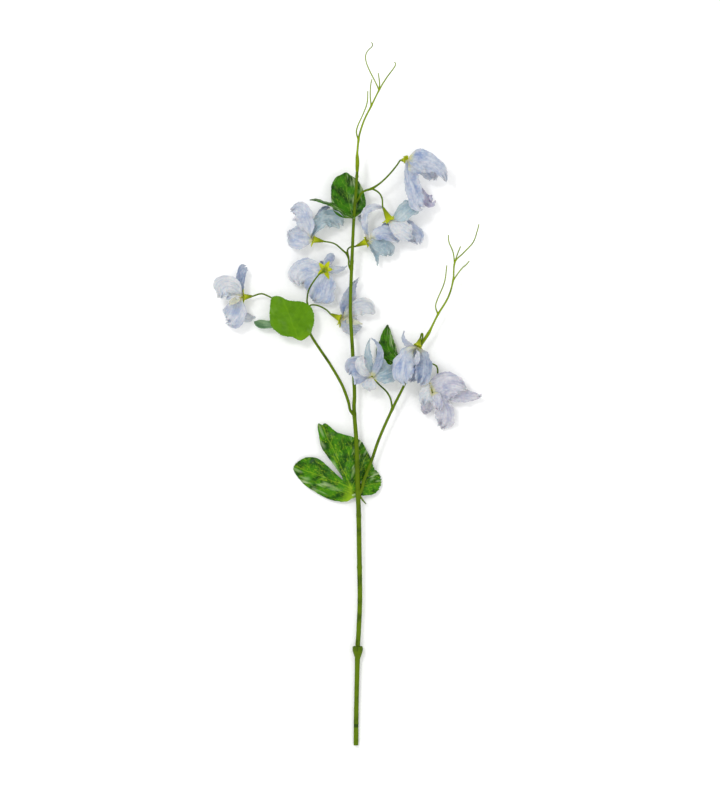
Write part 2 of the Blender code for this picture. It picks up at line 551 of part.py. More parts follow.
def build_plate(name, plate):
    """A lamina of rings round the point its veins run out from, closed into a thin solid."""
    middle = Vector(plate.middle)
    count = len(plate.edge)
    points, faces = [], []
    for sign in (1, -1):
        offset = Vector((0, 0, sign * LEAF_THICKNESS / 2))
        points.append(middle + offset)
        for share in PLATE_RINGS:
            points += [middle.lerp(Vector(corner), share) + offset for corner in plate.edge]
    lower = 1 + count * len(PLATE_RINGS)
    for step in range(count):
        after = (step + 1) % count
        faces.append((0, 1 + step, 1 + after))
        faces.append((lower, lower + 1 + after, lower + 1 + step))
        for ring in range(len(PLATE_RINGS) - 1):
            a, b = 1 + ring * count + step, 1 + ring * count + after
            faces.append((a, a + count, b + count, b))
            faces.append((lower + b, lower + b + count, lower + a + count, lower + a))
        a, b = lower - count + step, lower - count + after
        faces.append((a, lower + a, lower + b, b))
    make_object(name, points, faces, plate.color, LEAF_ROUGHNESS)


def centre_on_origin():
    """Move every mesh so that the spray's outline is centred and its lowest point is at z = 0."""
    corners = [vertex.co for item in bpy.data.objects for vertex in item.data.vertices]
    low = Vector([min(corner[axis] for corner in corners) for axis in range(3)])
    high = Vector([max(corner[axis] for corner in corners) for axis in range(3)])
    shift = Vector((-(low.x + high.x) / 2, -(low.y + high.y) / 2, -low.z))
    for item in bpy.data.objects:
        for vertex in item.data.vertices:
            vertex.co += shift
    print("shift, mm:", [round(value / MM, 3) for value in shift])


def build():
    clear_scene()
    build_lower_stem()
    build_main_stem()
    build_branching("left_shoot", LEFT_SHOOT, "stem")
    build_branching("right_shoot", RIGHT_SHOOT, "stem")
    build_branching("upper_peduncle", UPPER_PEDUNCLE, "stem")
    build_branching("middle_peduncle", MIDDLE_PEDUNCLE, "stem")
    build_branching("top_tendril", TOP_TENDRIL, "tendril")
    build_branching("right_tendril", RIGHT_TENDRIL, "tendril")
    for letter, blossom in BLOSSOMS.items():
        build_calyx(letter, blossom)
        for layer, part in enumerate(("banner", "wings", "keel")):
            build_petals(f"{part}_{letter}", blossom, getattr(blossom, part), layer, part)
    for name, leaf in LEAVES.items():
        build_leaf(name, leaf)
    for name, plate in PLATES.items():
        build_plate(name, plate)
    centre_on_origin()


build()
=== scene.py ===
"""A cut sweet pea spray on a pale floor: stem, shoots, tendrils, leaves and ruffled blossoms.

Tables are in millimetres from the cut end of the stem: x across, y up the stem, z up from the floor.
A blossom's petals are given from its hub, the point where they meet in the calyx.
"""

import math
from collections import namedtuple

import bpy
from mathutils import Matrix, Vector, noise


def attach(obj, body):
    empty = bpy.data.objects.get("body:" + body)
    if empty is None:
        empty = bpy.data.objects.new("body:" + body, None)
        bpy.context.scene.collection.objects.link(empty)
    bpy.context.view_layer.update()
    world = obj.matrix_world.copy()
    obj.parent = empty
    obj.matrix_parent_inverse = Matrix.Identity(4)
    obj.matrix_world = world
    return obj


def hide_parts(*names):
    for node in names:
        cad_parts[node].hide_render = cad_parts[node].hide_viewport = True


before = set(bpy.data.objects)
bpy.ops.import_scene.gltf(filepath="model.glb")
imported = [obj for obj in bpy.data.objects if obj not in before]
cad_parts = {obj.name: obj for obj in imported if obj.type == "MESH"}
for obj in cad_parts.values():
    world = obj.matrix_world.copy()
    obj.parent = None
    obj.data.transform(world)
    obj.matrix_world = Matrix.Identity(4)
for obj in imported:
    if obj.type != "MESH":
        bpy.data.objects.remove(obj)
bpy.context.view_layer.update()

MM = 0.001
SEAM = 0.00001              # points closer than this, in metres, are merged

# Lengths below are in mm
CUT_END = Vector((8.006, -350.378, 0.05))   # the tables' zero in the frame
FLOOR_CLEARANCE = 0.15
FOOT_RADIUS = 2.4
STEM_RISE = 0.034           # how much the stem rises for each mm along it
COLLAR_FOOT, COLLAR_TOP = 86.0, 99.0
RING_FOOT, RING_TOP = 18.6, 20.9            # the moulded groove near the cut end, painted dark as its shade
MAIN_TOP = 576.0
LAYER_STEP = 1.35           # from one petal layer of a blossom to the next
PETAL_THICKNESS = 0.32
SEPAL_THICKNESS = 0.5
LEAF_THICKNESS = 0.7
SEPAL_HALF_WIDTH = 2.25
RING_SPACING = 2.2          # between the rings of a stem
PETAL_WEAVE = 0.6           # between the points of a petal
LEAF_WEAVE = 0.8

# Crinkles of a petal, as their size across and along it
FOLDS, CREASES, CRUMPLES = (3.6, 10), (2.2, 8), (1.0, 3.4)
FRAY, FINE_FRAY = 1.5, 0.8  # tufts of the torn edge
RUFFLE_WAVE, FRILL_WAVE = 11, 8             # from crest to crest, along the sides and across the tip
RUFFLE_LIMIT = 11           # a wider petal ruffles no deeper than one of this half width
SWELLS = 5.5                # how far apart a petal's outline swells and narrows

# Points of a mesh
STEM_SIDES, THIN_SIDES, CALYX_SIDES = 24, 14, 25
PETAL_ROWS, PETAL_COLUMNS = (24, 84), (12, 50)      # the fewest and the most
SEPAL_ROWS, SEPAL_COLUMNS = 16, 8
PLATE_RINGS, PLATE_SPOKES = 40, 220

# Half width along a lobe, as (share of the length, share of the full half width)
OUTLINES = {
    "fan": ((0.0, 0.12), (0.18, 0.38), (0.4, 0.80), (0.65, 1.0), (0.85, 0.92), (1.0, 0.52)),
    "flare": ((0.0, 0.12), (0.25, 0.45), (0.5, 0.7), (0.75, 0.9), (0.92, 1.0), (1.0, 0.85)),
    "oval": ((0.0, 0.16), (0.2, 0.55), (0.45, 0.95), (0.65, 1.0), (0.85, 0.75), (1.0, 0.34)),
    "strap": ((0.0, 0.25), (0.2, 0.6), (0.5, 0.95), (0.75, 1.0), (0.9, 0.88), (1.0, 0.55)),
    "crest": ((0.0, 0.3), (0.12, 0.75), (0.3, 1.0), (0.5, 0.84), (0.7, 0.54), (0.88, 0.42), (1.0, 0.26)),
    "flag": ((0.0, 0.15), (0.5, 0.3), (0.7, 0.6), (0.88, 1.0), (1.0, 0.7)),
    "round": ((0.0, 0.2), (0.2, 0.68), (0.45, 1.0), (0.75, 0.92), (1.0, 0.5)),
    "bell": ((0.0, 0.16), (0.18, 0.5), (0.38, 0.92), (0.65, 1.0), (0.88, 0.86), (1.0, 0.55)),
    "cap": ((0.0, 0.5), (0.15, 0.78), (0.4, 1.0), (0.65, 0.92), (0.85, 0.7), (1.0, 0.4)),
    "blade": ((0.0, 0.12), (0.2, 0.36), (0.45, 1.0), (0.75, 0.74), (1.0, 0.12)),
    "point": ((0.0, 0.35), (0.3, 0.85), (0.55, 1.0), (0.8, 0.55), (1.0, 0.12)),
    "leaf": ((0.0, 0.07), (0.1, 0.38), (0.3, 0.83), (0.5, 1.0), (0.75, 0.84), (0.92, 0.45), (1.0, 0.12)),
    "round leaf": ((0.0, 0.08), (0.1, 0.6), (0.3, 0.97), (0.5, 1.0), (0.75, 0.88), (0.92, 0.62),
                   (1.0, 0.32)),
    "sepal": ((0.0, 0.85), (0.3, 1.0), (0.6, 0.68), (0.85, 0.3), (1.0, 0.04)),
    "stalked leaf": ((0.0, 0.1), (0.36, 0.12), (0.5, 0.62), (0.7, 1.0), (0.85, 0.86), (0.95, 0.5),
                     (1.0, 0.2)),
}

# One lobe of a petal: where its middle line passes halfway and ends, measured from the hub, its half
# width, its outline and how deeply it cups
Lobe = namedtuple("Lobe", "belly tip half_width outline cup", defaults=("fan", 0.18))
Blossom = namedtuple("Blossom", "hub axis calyx_length banner wings keel")

BLOSSOMS = {
    "a": Blossom(
        (50, 584, 22), (0.80, 0.05, 0.60), 6,
        (Lobe((12, -25, -5.4), (27, -40, -7.4), 6.5, "flag"), Lobe((16, -9, -4), (28, -19, -4), 6)),
        (Lobe((20.5, -3, 8), (40, -19.5, 3), 13, "crest"), Lobe((6, -24, 6), (15, -48, 3.5), 8.5, "strap")),
        (Lobe((9, -6, 13), (19, -13, 12), 3, "oval"),)),
    "b": Blossom(
        (33, 525, 19), (0.45, -0.85, -0.28), 13,
        (Lobe((14, 7, 3.6), (25, 17, 0.4), 9.6), Lobe((9.5, -8, 6), (21, -16.5, 3), 10)),
        (Lobe((16, -7.6, -5), (29, -23, -5.6), 9.3, "strap"), Lobe((-4, -7, -2), (-5, -12, -5), 4, "oval")),
        (Lobe((7, -8, -6), (14, -11, -11), 3.5, "oval"),)),
    "c": Blossom(
        (11, 503, 15.5), (0.87, 0.36, 0.33), 12,
        (Lobe((-2, 13, -1), (-8, 25, -2), 3, "strap"), Lobe((7, -8, -3), (10.5, -23, -6), 3.4, "point")),
        (Lobe((-3, 21, 3), (16, 33, 2), 3.8, "strap"), Lobe((13, -4, 0), (21, -13, -4), 9)),
        (Lobe((13, 8, 4), (30, 1, 1.5), 7.5),)),
    "d": Blossom(
        (-43, 505, 15), (-0.90, 0.15, 0.30), 11,
        (Lobe((3, 18, -4), (16, 32, -6), 2.8, "strap"), Lobe((-10, 1.5, -1.5), (-22, 6, -4), 12.5)),
        (Lobe((6, 16, 4.6), (27.5, 14.5, -5.5), 9.2, "flare"),),
        (Lobe((-7, 17, 9), (-19, 28.5, 8), 10.5),)),
    "e": Blossom(
        (-31, 475, 17.5), (0.10, 0.20, -0.97), 9,
        (Lobe((-15, -2, -3), (-25, -12, -7), 15), Lobe((-3, -14, -3), (-9, -29, -8), 15.5)),
        (Lobe((3, 8, -7), (9, 14, -4), 4.5), Lobe((10, 0, -7), (21, 3, -8), 3.8, "point")),
        (Lobe((-1, 4, -11), (-4, 8, -13), 3.5, "oval"),)),
    "f": Blossom(
        (-113, 447.5, 13), (-0.88, -0.10, 0.42), 10,
        (Lobe((-0.9, -13.2, -3.2), (10.5, -20, -11.9), 5), Lobe((-2, 16, -1), (3, 30.5, -5), 5, "strap")),
        (Lobe((-11, 8.5, 6), (-21.5, 2, 7), 12.5), Lobe((-6, -12.5, 2), (-14, -23, -3), 12.5)),
        (Lobe((-7, -3.5, 8), (-12, -7.5, 12), 3.5, "oval"),)),
    "g": Blossom(
        (-15, 426, 8.5), (0.85, -0.40, 0.25), 11,
        (Lobe((5.8, 14.8, 1.5), (16, 39, 3), 7.5, "blade"), Lobe((7, -5.5, -1.6), (17.5, -8.5, -2.4), 9.2)),
        (Lobe((13, 9.8, 3.6), (31.5, 7, 4.2), 9),),
        (Lobe((8, -2, 5.5), (20, -5, 4), 3, "oval"),)),
    "h": Blossom(
        (16, 368, 14), (-0.10, 0.15, 0.98), 9,
        (Lobe((-11, 5, 6), (-20.6, 5, 5.6), 13.6), Lobe((11, 4, 3.2), (20, 9, 0), 12)),
        (Lobe((-3.5, 15, 7), (-2.5, 37, 6), 4.3, "point"), Lobe((-2, -6, 6), (-3, -12.5, 3), 7)),
        (Lobe((7, 16, 10), (0, 38, 8.5), 4, "point"), Lobe((-9, 6, 12), (-10, 20, 12), 4.8))),
    "i": Blossom(
        (61, 398, 21.5), (-0.30, -0.85, 0.40), 9,
        (Lobe((-3, -16, -3.2), (-5, -32.5, -4.2), 10.5, "bell"),
         Lobe((-10, 3, 1), (-13, 15, -1), 3, "point")),
        (Lobe((-11, -14, 9), (-13, -35, 7), 11, "bell"), Lobe((5.4, -14, 6), (2.6, -36, 3), 8.5, "bell")),
        (Lobe((0, -9, 11.2), (-2, -18, 10.6), 2.6, "oval"),)),
    "j": Blossom(
        (76, 353, 12), (0.10, -0.20, 0.97), 9,
        (Lobe((25, -3, -1), (47.4, -4, -3), 7, "point"), Lobe((-4, -12, -3), (-6, -20.5, -5), 5.8, "round")),
        (Lobe((12, 5, 5), (30, 4, 3), 14, "cap"), Lobe((10, -15, 1), (9, -34, -8.2), 9.5, "strap")),
        (Lobe((-5, -3, 7), (-9, -11, 5), 8.5, "cap"), Lobe((4, -8, 6.4), (6, -17, 4), 6, "cap"))),
}

# A leaf: its seat, where its middle line passes halfway, its tip, and the way its upper face looks
Leaf = namedtuple("Leaf", "base belly tip half_width outline fold face", defaults=((0, 0, 1),))

LEAVES = {
    "shoot_leaf_small": Leaf((-49, 424, 12), (-78, 420, 9), (-101, 423, 4), 5, "stalked leaf", 0.3,
                             (0, 0.6, 0.8)),
    "top_leaf_round": Leaf((-3, 526, 17.5), (-8, 546, 14), (-10, 569, 15), 17, "round leaf", 0.12),
    "top_leaf_edge": Leaf((-3, 527, 22.6), (-24, 538, 25), (-45, 543.5, 27), 7, "leaf", 0.1,
                          (0.2, 0.95, 0.25)),
    "right_leaf_dark": Leaf((56.6, 383.6, 12.8), (38.6, 388, 9), (31.5, 419, 6), 8, "stalked leaf", 0.2),
    "right_leaf_pale": Leaf((53.3, 375.6, 12.8), (34.5, 380, 5.5), (26, 406, 2), 6.5, "stalked leaf", 0.2),
}

# A broad leaf: the point its veins run out from, and its edge from there round, all on its middle
Plate = namedtuple("Plate", "middle edge")

PLATES = {
    "base_leaf": Plate(
        (-5, 257, 8),
        ((12, 250, 6.8), (18, 251, 5), (23, 256, 4.2), (25, 264, 3.8), (23, 271, 4), (18, 277, 5),
         (15, 286, 6), (10, 296, 7.4), (5, 304, 8.4), (-4, 308.5, 9), (-19, 313, 9.5), (-30, 321.5, 9.5),
         (-38, 321, 9), (-37, 310, 8), (-34, 297, 7.2), (-24, 286, 6.8), (-17, 277, 7), (-13.5, 266, 7.3),
         (-17, 266, 7.2), (-25, 274.5, 6.6), (-37, 286, 5.4), (-50, 287.5, 4), (-60, 281.5, 2.4),
         (-62, 274, 1.4), (-53, 262, 1.6), (-43, 254.5, 2.4), (-26, 245.5, 4), (-11, 243.3, 5.6),
         (-4, 246.5, 7.2), (3, 249, 7.8))),
    "shoot_leaf_large": Plate(
        (-61, 425, 20),
        ((-43.5, 416, 17), (-41.5, 425, 17), (-44, 436.5, 17.5), (-53, 442.5, 18.5), (-67, 444, 18.5),
         (-75, 448, 17), (-83.5, 447.5, 15), (-85.5, 438, 16), (-86, 428, 16.5), (-84, 418, 17),
         (-74, 409.5, 18), (-63, 407.5, 18), (-55, 404.2, 17), (-46.5, 409.5, 15.7))),
}

# Stems are runs of (x, y, z, radius). A run that ends in a letter goes on to that blossom's calyx.
LOWER_STEM = ((0, 0, 2.4), (0.1, 18, 2.4), (0.1, 19, 2.15), (0.1, 20.5, 2.15), (0.1, 21.5, 2.4),
              (0.5, 45, 2.35), (1, 68, 2.4), (1.4, COLLAR_FOOT, 2.6))
MAIN_STEM = ((1.6, 88, 2.4), (1.8, 101, 2.4), (2.5, 112, 2.4), (3.9, 145, 2.4), (3.5, 178, 2.45),
             (2.7, 230, 2.4), (2, 251, 2.3), (0.5, 301, 2.15), (-1.9, 335, 1.95), (-1.5, 353, 1.85),
             (-3.5, 395, 1.8), (-5.3, 426, 1.75), (-5.5, 445, 1.7), (-4, 485, 1.65), (-2, 528, 1.5),
             (0, 552, 1.45), (1.3, MAIN_TOP, 1.35))

THORN = ((3.5, 250, 10.6, 1.1), (6.5, 245.5, 10.4, 0.9), (10, 241.3, 10, 0.5))

LEFT_SHOOT = (
    ((-5.8, 335, 13.9, 1.4), (-7.8, 344, 14, 1.5), (-14.4, 361, 14.2, 1.45), (-26, 381, 14.2, 1.4),
     (-29.4, 386, 14.2, 1.4), (-45.5, 411, 14, 1.3), (-47, 425, 13.8, 1.1), (-48, 440, 14.5, 0.9),
     (-48.8, 443.5, 15, 0.9), (-46.8, 455, 21, 0.8), (-39, 467, 27.5, 0.8), (-34.5, 471.5, 29, 0.8), "e"),
    ((-46.6, 420, 13.9, 0.9), (-59, 433, 13.6, 0.9), (-71, 441, 13.2, 0.85), (-84.3, 447, 12.2, 0.8),
     (-94, 451, 10.2, 0.8), "f"),
    ((-47.8, 437, 14.2, 0.8), (-45, 439.6, 13.4, 0.8), (-37.4, 439, 11, 0.8), (-29, 434.6, 7.4, 0.8), "g"),
)
RIGHT_SHOOT = (
    ((6.3, 257, 11.2, 1.5), (8, 265, 11.4, 1.6), (15.3, 284, 12, 1.6), (23.7, 308, 12.6, 1.5),
     (36.2, 336, 13, 1.4), (47, 357.6, 13.2, 1.3), (56, 378, 13.2, 1.2), (61, 391, 13, 1.2),
     (65.5, 400.5, 13, 1.2)),
    ((36.2, 336.5, 13, 0.9), (34.5, 346, 12, 0.9), (30.4, 353.4, 9.5, 0.85), (24.5, 359, 6, 0.8),
     (19.5, 364, 3.6, 0.8), "h"),
    ((63, 395.5, 13, 0.9), (64.5, 401, 15.8, 0.9), (66.3, 407, 18, 0.9), (66.2, 411, 19.2, 0.9),
     (65, 410.5, 19.8, 0.9), "i"),
    ((56, 378, 13.2, 0.8), (65, 381.5, 14, 0.8), (73.5, 381.6, 13.2, 0.8), (80, 379, 11, 0.8),
     (81.6, 373, 6.5, 0.8), (79.5, 363, 3.4, 0.8), "j"),
)
UPPER_PEDUNCLE = (
    ((3.3, 546, 21.1, 1.0), (4.6, 550, 21.2, 1.1), (9, 553.2, 21.3, 1.1), (16.4, 555.6, 21.5, 1.1),
     (26, 562.3, 22, 0.9), (34.6, 571, 21.6, 0.85), (41, 579, 19.8, 0.8), "a"),
    ((16, 555.4, 21.5, 0.9), (22.5, 551.4, 21.6, 0.85), (26, 545.3, 22.2, 0.8), "b"),
)
MIDDLE_PEDUNCLE = (
    ((-7, 479, 18.7, 1.0), (-7.2, 485, 18.6, 1.0), (-8.6, 490, 18.3, 1.1), (-12, 493, 18, 0.9),
     (-21.4, 500.7, 15.5, 0.8), "d"),
    ((-8.4, 489.6, 18.3, 0.9), (-8.2, 495, 16.6, 0.8), (-5, 497.6, 14.8, 0.8), "c"),
)
TOP_TENDRIL = (
    ((1.3, 576.4, 22, 1.8), (1.4, 580, 22.1, 2.0), (1.3, 586, 22.3, 1.8), (1.3, 591, 22.4, 1.15),
     (2.5, 603.5, 22.8, 1.0), (4.3, 612, 23, 0.95), (8.5, 624, 23, 0.9), (15.2, 637.4, 23, 0.85),
     (23, 653.2, 23, 0.75), (30.4, 665.3, 24.5, 0.65), (37, 674, 25.5, 0.6), (39.5, 678.6, 25.5, 0.55),
     (38.2, 680.8, 25, 0.5)),
    ((2.5, 603.5, 22.8, 0.8), (0.4, 611, 23.6, 0.7), (2, 618, 24.6, 0.65), (7, 629, 25.4, 0.6),
     (11, 640, 25.6, 0.6), (11.8, 652, 25.2, 0.5)),
    ((15.2, 637.4, 23, 0.7), (14.2, 647, 22.4, 0.6), (14.6, 658, 21.6, 0.55), (15.8, 664, 21.2, 0.5)),
    ((23, 653.2, 23, 0.7), (18.8, 662, 23.8, 0.6), (14, 671.4, 24.2, 0.6), (10.4, 680, 24.2, 0.55),
     (9.5, 687, 24, 0.55), (11.6, 692, 23.8, 0.5), (15.8, 696.2, 23.6, 0.5), (16.4, 699.2, 23.4, 0.5),
     (15.2, 700.5, 23.2, 0.5)),
    ((23, 653.2, 23, 0.65), (23.5, 660, 22, 0.6), (22.2, 670.2, 21, 0.5)),
)
RIGHT_TENDRIL = (
    ((65.7, 400.9, 13, 1.2), (69, 406.4, 13.2, 1.7), (73, 412.6, 13.5, 1.6), (75.6, 418, 13.9, 1.1),
     (81.8, 430.5, 14.6, 1.0), (91.7, 447, 15.8, 0.95), (96.7, 464, 16.6, 0.85), (98.4, 482, 17.2, 0.75),
     (106.6, 491, 17.8, 0.65), (116.6, 502, 18.6, 0.6), (120.7, 513.4, 19.2, 0.55), (122.4, 520, 19.4, 0.5)),
    ((81.8, 430.5, 14.6, 0.8), (79.3, 437.5, 15.6, 0.65), (81, 445, 16.6, 0.6), (88, 462, 18.6, 0.6),
     (90.4, 479, 19.6, 0.5)),
    ((96.7, 464, 16.6, 0.7), (104.5, 475, 15.6, 0.6), (110, 480, 15, 0.55), (112.8, 483.4, 14.8, 0.5)),
    ((98.2, 480, 17.1, 0.65), (96.7, 492, 17.8, 0.6), (92.6, 502, 18.4, 0.55), (92, 509.3, 18.6, 0.5)),
    ((98.4, 482, 17.2, 0.65), (100.8, 489.6, 16.4, 0.6), (104.2, 498, 15.6, 0.5)),
)

# How far a blossom's sepals reach past its rim, mm
SEPAL_REACH = {"a": 1.2, "b": 5.5, "c": 4.2, "d": 4.8, "e": 5.6, "f": 6.0, "g": 6.5, "h": 3.6, "i": 3.2,
               "j": 2.0}

# Main veins: start, end and the half width of the blade beside them
BASE_VEINS = ((-5, 257, -58, 278, 19), (-5, 257, -32, 316, 19), (-5, 257, 12, 292, 16),
              (-5, 257, 23, 262, 13))
BASE_NOTCH = (-34.5, 322)
SHOOT_VEINS = ((-58, 406, -73, 447, 25),)

# The collar that takes the main stem, from outside to inside: how far up the stem, and radius
COLLAR = ((88, 2.9), (90, 3.6), (92, 4.3), (94, 4.95), (96, 5.2), (98, 5.15), (98.8, 4.9), (COLLAR_TOP, 4.6),
          (98.6, 4.1), (97.5, 3.5), (95, 3.0), (92, 2.75), (90, 2.6))
STEM_JOINTS = (178, 230, 252, 331, 476, 541)        # how far up the main stem it swells
STEM_BUMPS = (482, 567)

# A calyx funnel: share of the way back from its rim to its stalk, and radius; then its rim, as mm behind
# the hub, and radius
FUNNEL = ((1, 1.2), (0.93, 1.35), (0.8, 1.6), (0.6, 2.1), (0.4, 2.65), (0.2, 3.2))
FUNNEL_RIM = ((1.0, 3.6), (0.6, 3.75), (0.35, 3.6), (0.5, 3.0), (1.0, 1.8))

# Studio, m and W
CAMERA_HEIGHT = 4.0
FRAME_HEIGHT = 0.79         # what the frame takes in at the floor
SENSOR_HEIGHT = 36          # mm
VIEW_CENTRE = (0.012, -0.0004)
FLOOR_SIZE = 6
ROOM_LIGHT = 0.98
KEY_PLACE, KEY_SIZE, KEY_POWER = (-0.75, 0.85, 1.9), 0.45, 11.0
FILL_PLACE, FILL_SIZE, FILL_POWER = (0.8, -0.5, 2.2), 1.6, 5.0


# How a lobe looks: its finish, how far its edge ruffles, the notch in its tip, its cup, its curl, and
# how far the cream of its base reaches
Look = namedtuple("Look", "tone ruffle notch cup curl cream", defaults=("blue", 0.16, 0.0, None, 0.0, 0.3))
LOOKS = {
    "banner_a": (Look("violet", 0.3, 0.1), Look("pale", 0.2, 0.0, -0.2)),
    "wings_a": (Look("blue", 0.1, 0.0, -0.32, -3), Look("blue", 0.22, 0.12, -0.15, 0, 0.2)),
    "keel_a": (Look("pale", 0.1),),
    "banner_b": (Look("teal", 0.12, 0.05), Look("white", 0.12)),
    "wings_b": (Look("blue", 0.16, 0.1), Look("slate", 0.1)),
    "keel_b": (Look("pale", 0.1),),
    "banner_c": (Look("pale", 0.2), Look("teal", 0.3)),
    "wings_c": (Look("pale", 0.25, 0.1), Look("teal", 0.14, 0.12)),
    "keel_c": (Look("blue", 0.12, 0.0, 0.3, 0, 0.45),),
    "banner_d": (Look("slate", 0.2), Look("pale", 0.12, 0.0, 0.25)),
    "wings_d": (Look("teal", 0.2, 0.12),),
    "keel_d": (Look("pale", 0.16, 0.0, 0.2),),
    "banner_e": (Look("pale", 0.12, 0.08, 0.2), Look("blue", 0.1, 0.0, 0.14)),
    "wings_e": (Look("blue", 0.14), Look("pale", 0.16)),
    "keel_e": (Look("slate", 0.1),),
    "banner_f": (Look("pale", 0.14), Look("slate", 0.16, 0.14)),
    "wings_f": (Look("white", 0.14, 0.06), Look("pale", 0.16, 0.08)),
    "keel_f": (Look("cream", 0.14),),
    "banner_g": (Look("blue", 0.1), Look("pale", 0.12)),
    "wings_g": (Look("white", 0.1, 0.0, 0.32, 0, 0.46),),
    "keel_g": (Look("cream", 0.1),),
    "banner_h": (Look("blue", 0.12, 0.0, 0.3), Look("teal", 0.14, 0.0, 0.26)),
    "wings_h": (Look("teal", 0.1, 0.0, 0.3), Look("white", 0.12)),
    "keel_h": (Look("slate", 0.1, 0.0, 0.3), Look("white", 0.12, 0.0, 0.3)),
    "banner_i": (Look("blue", 0.14, 0.06), Look("pale", 0.2)),
    "wings_i": (Look("blue", 0.16, 0.05, -0.3, 0, 0.5), Look("slate", 0.16, 0.1, 0.34, 0, 0.45)),
    "keel_i": (Look("pale", 0.1),),
    "banner_j": (Look("grey", 0.24, 0.0, -0.1), Look("grey", 0.3)),
    "wings_j": (Look("grey", 0.14, 0.0, -0.2), Look("grey", 0.24, 0.1, -0.1)),
    "keel_j": (Look("white", 0.24, 0.08), Look("grey", 0.3, 0.1)),
}

# Washes of deeper blue on the petals: place from the hub, radius and depth
WASHES = {
    "a": ((12, 5, 7, 1.0), (19, 4, 6, 0.8), (7, -19, 5, 0.8), (9, -30, 6, 0.8), (30, -12, 5, 0.4)),
    "b": ((16, 15, 8, 0.6), (26, -12, 8, 0.5), (-4, -8, 5, 1.0), (6, -9, 4, 0.6)),
    "c": ((16, -1, 6, 1.0), (12, 2, 5, 1.0), (19, -8, 6, 0.5), (-3, 22, 4, 0.4), (9, -14, 5, 0.7)),
    "d": ((-16, 0, 7, 0.8), (-8, 22, 6, 0.6), (18, 17, 8, 0.5)),
    "e": ((-17, -2, 5, 1.0), (-5, -20, 8, 0.7), (-20, -16, 7, 0.4), (6, 10, 4, 0.7)),
    "f": ((-15, 0.5, 6, 0.7), (-7, -14.5, 6, 0.7), (0, 18, 8, 0.9)),
    "g": ((3, 11, 7, 0.8), (8, 24, 6, 0.5), (10, -8, 5, 0.4)),
    "h": ((-17, 6, 6, 0.5), (-14, -4, 6, 0.6), (14, 2, 8, 0.8), (2, 20, 8, 0.6)),
    "i": ((-16, -20, 6, 1.0), (-1, -22, 6, 1.0), (4, -30, 7, 0.8), (-8, -30, 5, 0.4)),
    "j": ((14, 4, 5, 0.9), (22, 0, 5, 0.5), (34, -6, 6, 0.4), (6, -12, 6, 0.3)),
}

# A tone of petal silk: its body, its dye where deepest, and its pale rim; the dye and rim colours also give
# the painted shade and painted highlight of the crinkles
TONES = {
    "blue": ("#AEB6C3", "#7387B0", "#C9CDD3"),
    "pale": ("#B5BBC4", "#8294B6", "#D1D3D6"),
    "violet": ("#ACACC0", "#8080A8", "#C8C6D0"),
    "grey": ("#B9BAC3", "#8D91AE", "#D2D2D5"),
    "teal": ("#A0B0B6", "#7694A6", "#BFC9CB"),
    "slate": ("#99A4B5", "#5F7296", "#B9C0C9"),
    "white": ("#C0C4C7", "#98A6BC", "#D6D7D6"),
    "cream": ("#C2C2AA", "#A3ADB0", "#D3D3C1"),
}
CREAM = "#C8C690"


def linear(code):
    """An sRGB hex colour as linear red, green, blue and alpha."""
    values = []
    for start in (1, 3, 5):
        value = int(code[start:start + 2], 16) / 255
        values.append(value / 12.92 if value <= 0.04045 else ((value + 0.055) / 1.055) ** 2.4)
    return (*values, 1.0)


def add(tree, kind, links=None, output=None, **settings):
    """Add a node with its settings, values and links; give back the node, or the output asked for."""
    item = tree.nodes.new(kind)
    for key, value in settings.items():
        setattr(item, key, value)
    for key, value in (links or {}).items():
        if isinstance(value, bpy.types.NodeSocket):
            tree.links.new(value, item.inputs[key])
        else:
            item.inputs[key].default_value = value
    return item if output is None else item.outputs[output]


def start_material(name, roughness, ior, **values):
    """A new material, its node tree, and its shader with what is the same all over."""
    material = bpy.data.materials.new(name)
    material.use_nodes = True
    tree = material.node_tree
    shader = tree.nodes["Principled BSDF"]
    shader.inputs["Roughness"].default_value = roughness
    shader.inputs["IOR"].default_value = ior
    for key, value in values.items():
        shader.inputs[key].default_value = value
    return material, tree, shader


def streaks(tree, uv, along, across, detail, seed):
    """Fine lines that follow a blade or a stem: noise drawn out along its length."""
    place = add(tree, "ShaderNodeMapping", {"Vector": uv, "Scale": (along, across, 1),
                                            "Location": (seed, seed, seed)}, "Vector")
    return add(tree, "ShaderNodeTexNoise", {"Vector": place, "Scale": 1.0, "Detail": detail, "Roughness": 0.6,
                                            "Distortion": 0.5}, "Fac")


def mottle(tree, size, detail, seed):
    """Soft patches of a given size in mm, fixed to the piece."""
    where = add(tree, "ShaderNodeTexCoord", None, "Object")
    place = add(tree, "ShaderNodeMapping", {"Vector": where, "Location": (seed, 0, seed)}, "Vector")
    return add(tree, "ShaderNodeTexNoise", {"Vector": place, "Scale": 1000 / size, "Detail": detail,
                                            "Roughness": 0.55}, "Fac")


def paint(tree, base, layers):
    """Lay colours one over the other: each by a pattern, from low to high, at most to its share."""
    for pattern, low, high, share, color in layers:
        amount = add(tree, "ShaderNodeMapRange", {"Value": pattern, "From Min": low, "From Max": high,
                                                  "To Max": share}, "Result", interpolation_type="SMOOTHSTEP")
        base = add(tree, "ShaderNodeMix", {0: amount, 6: base, 7: linear(color)}, 2, data_type="RGBA")
    return base


def relief(tree, shader, layers):
    """Pressed relief, coarse first: height, strength and depth in mm."""
    normal = None
    for height, strength, depth in layers:
        links = {"Height": height, "Strength": strength, "Distance": depth * MM}
        if normal:
            links["Normal"] = normal
        normal = add(tree, "ShaderNodeBump", links, "Normal")
    tree.links.new(normal, shader.inputs["Normal"])


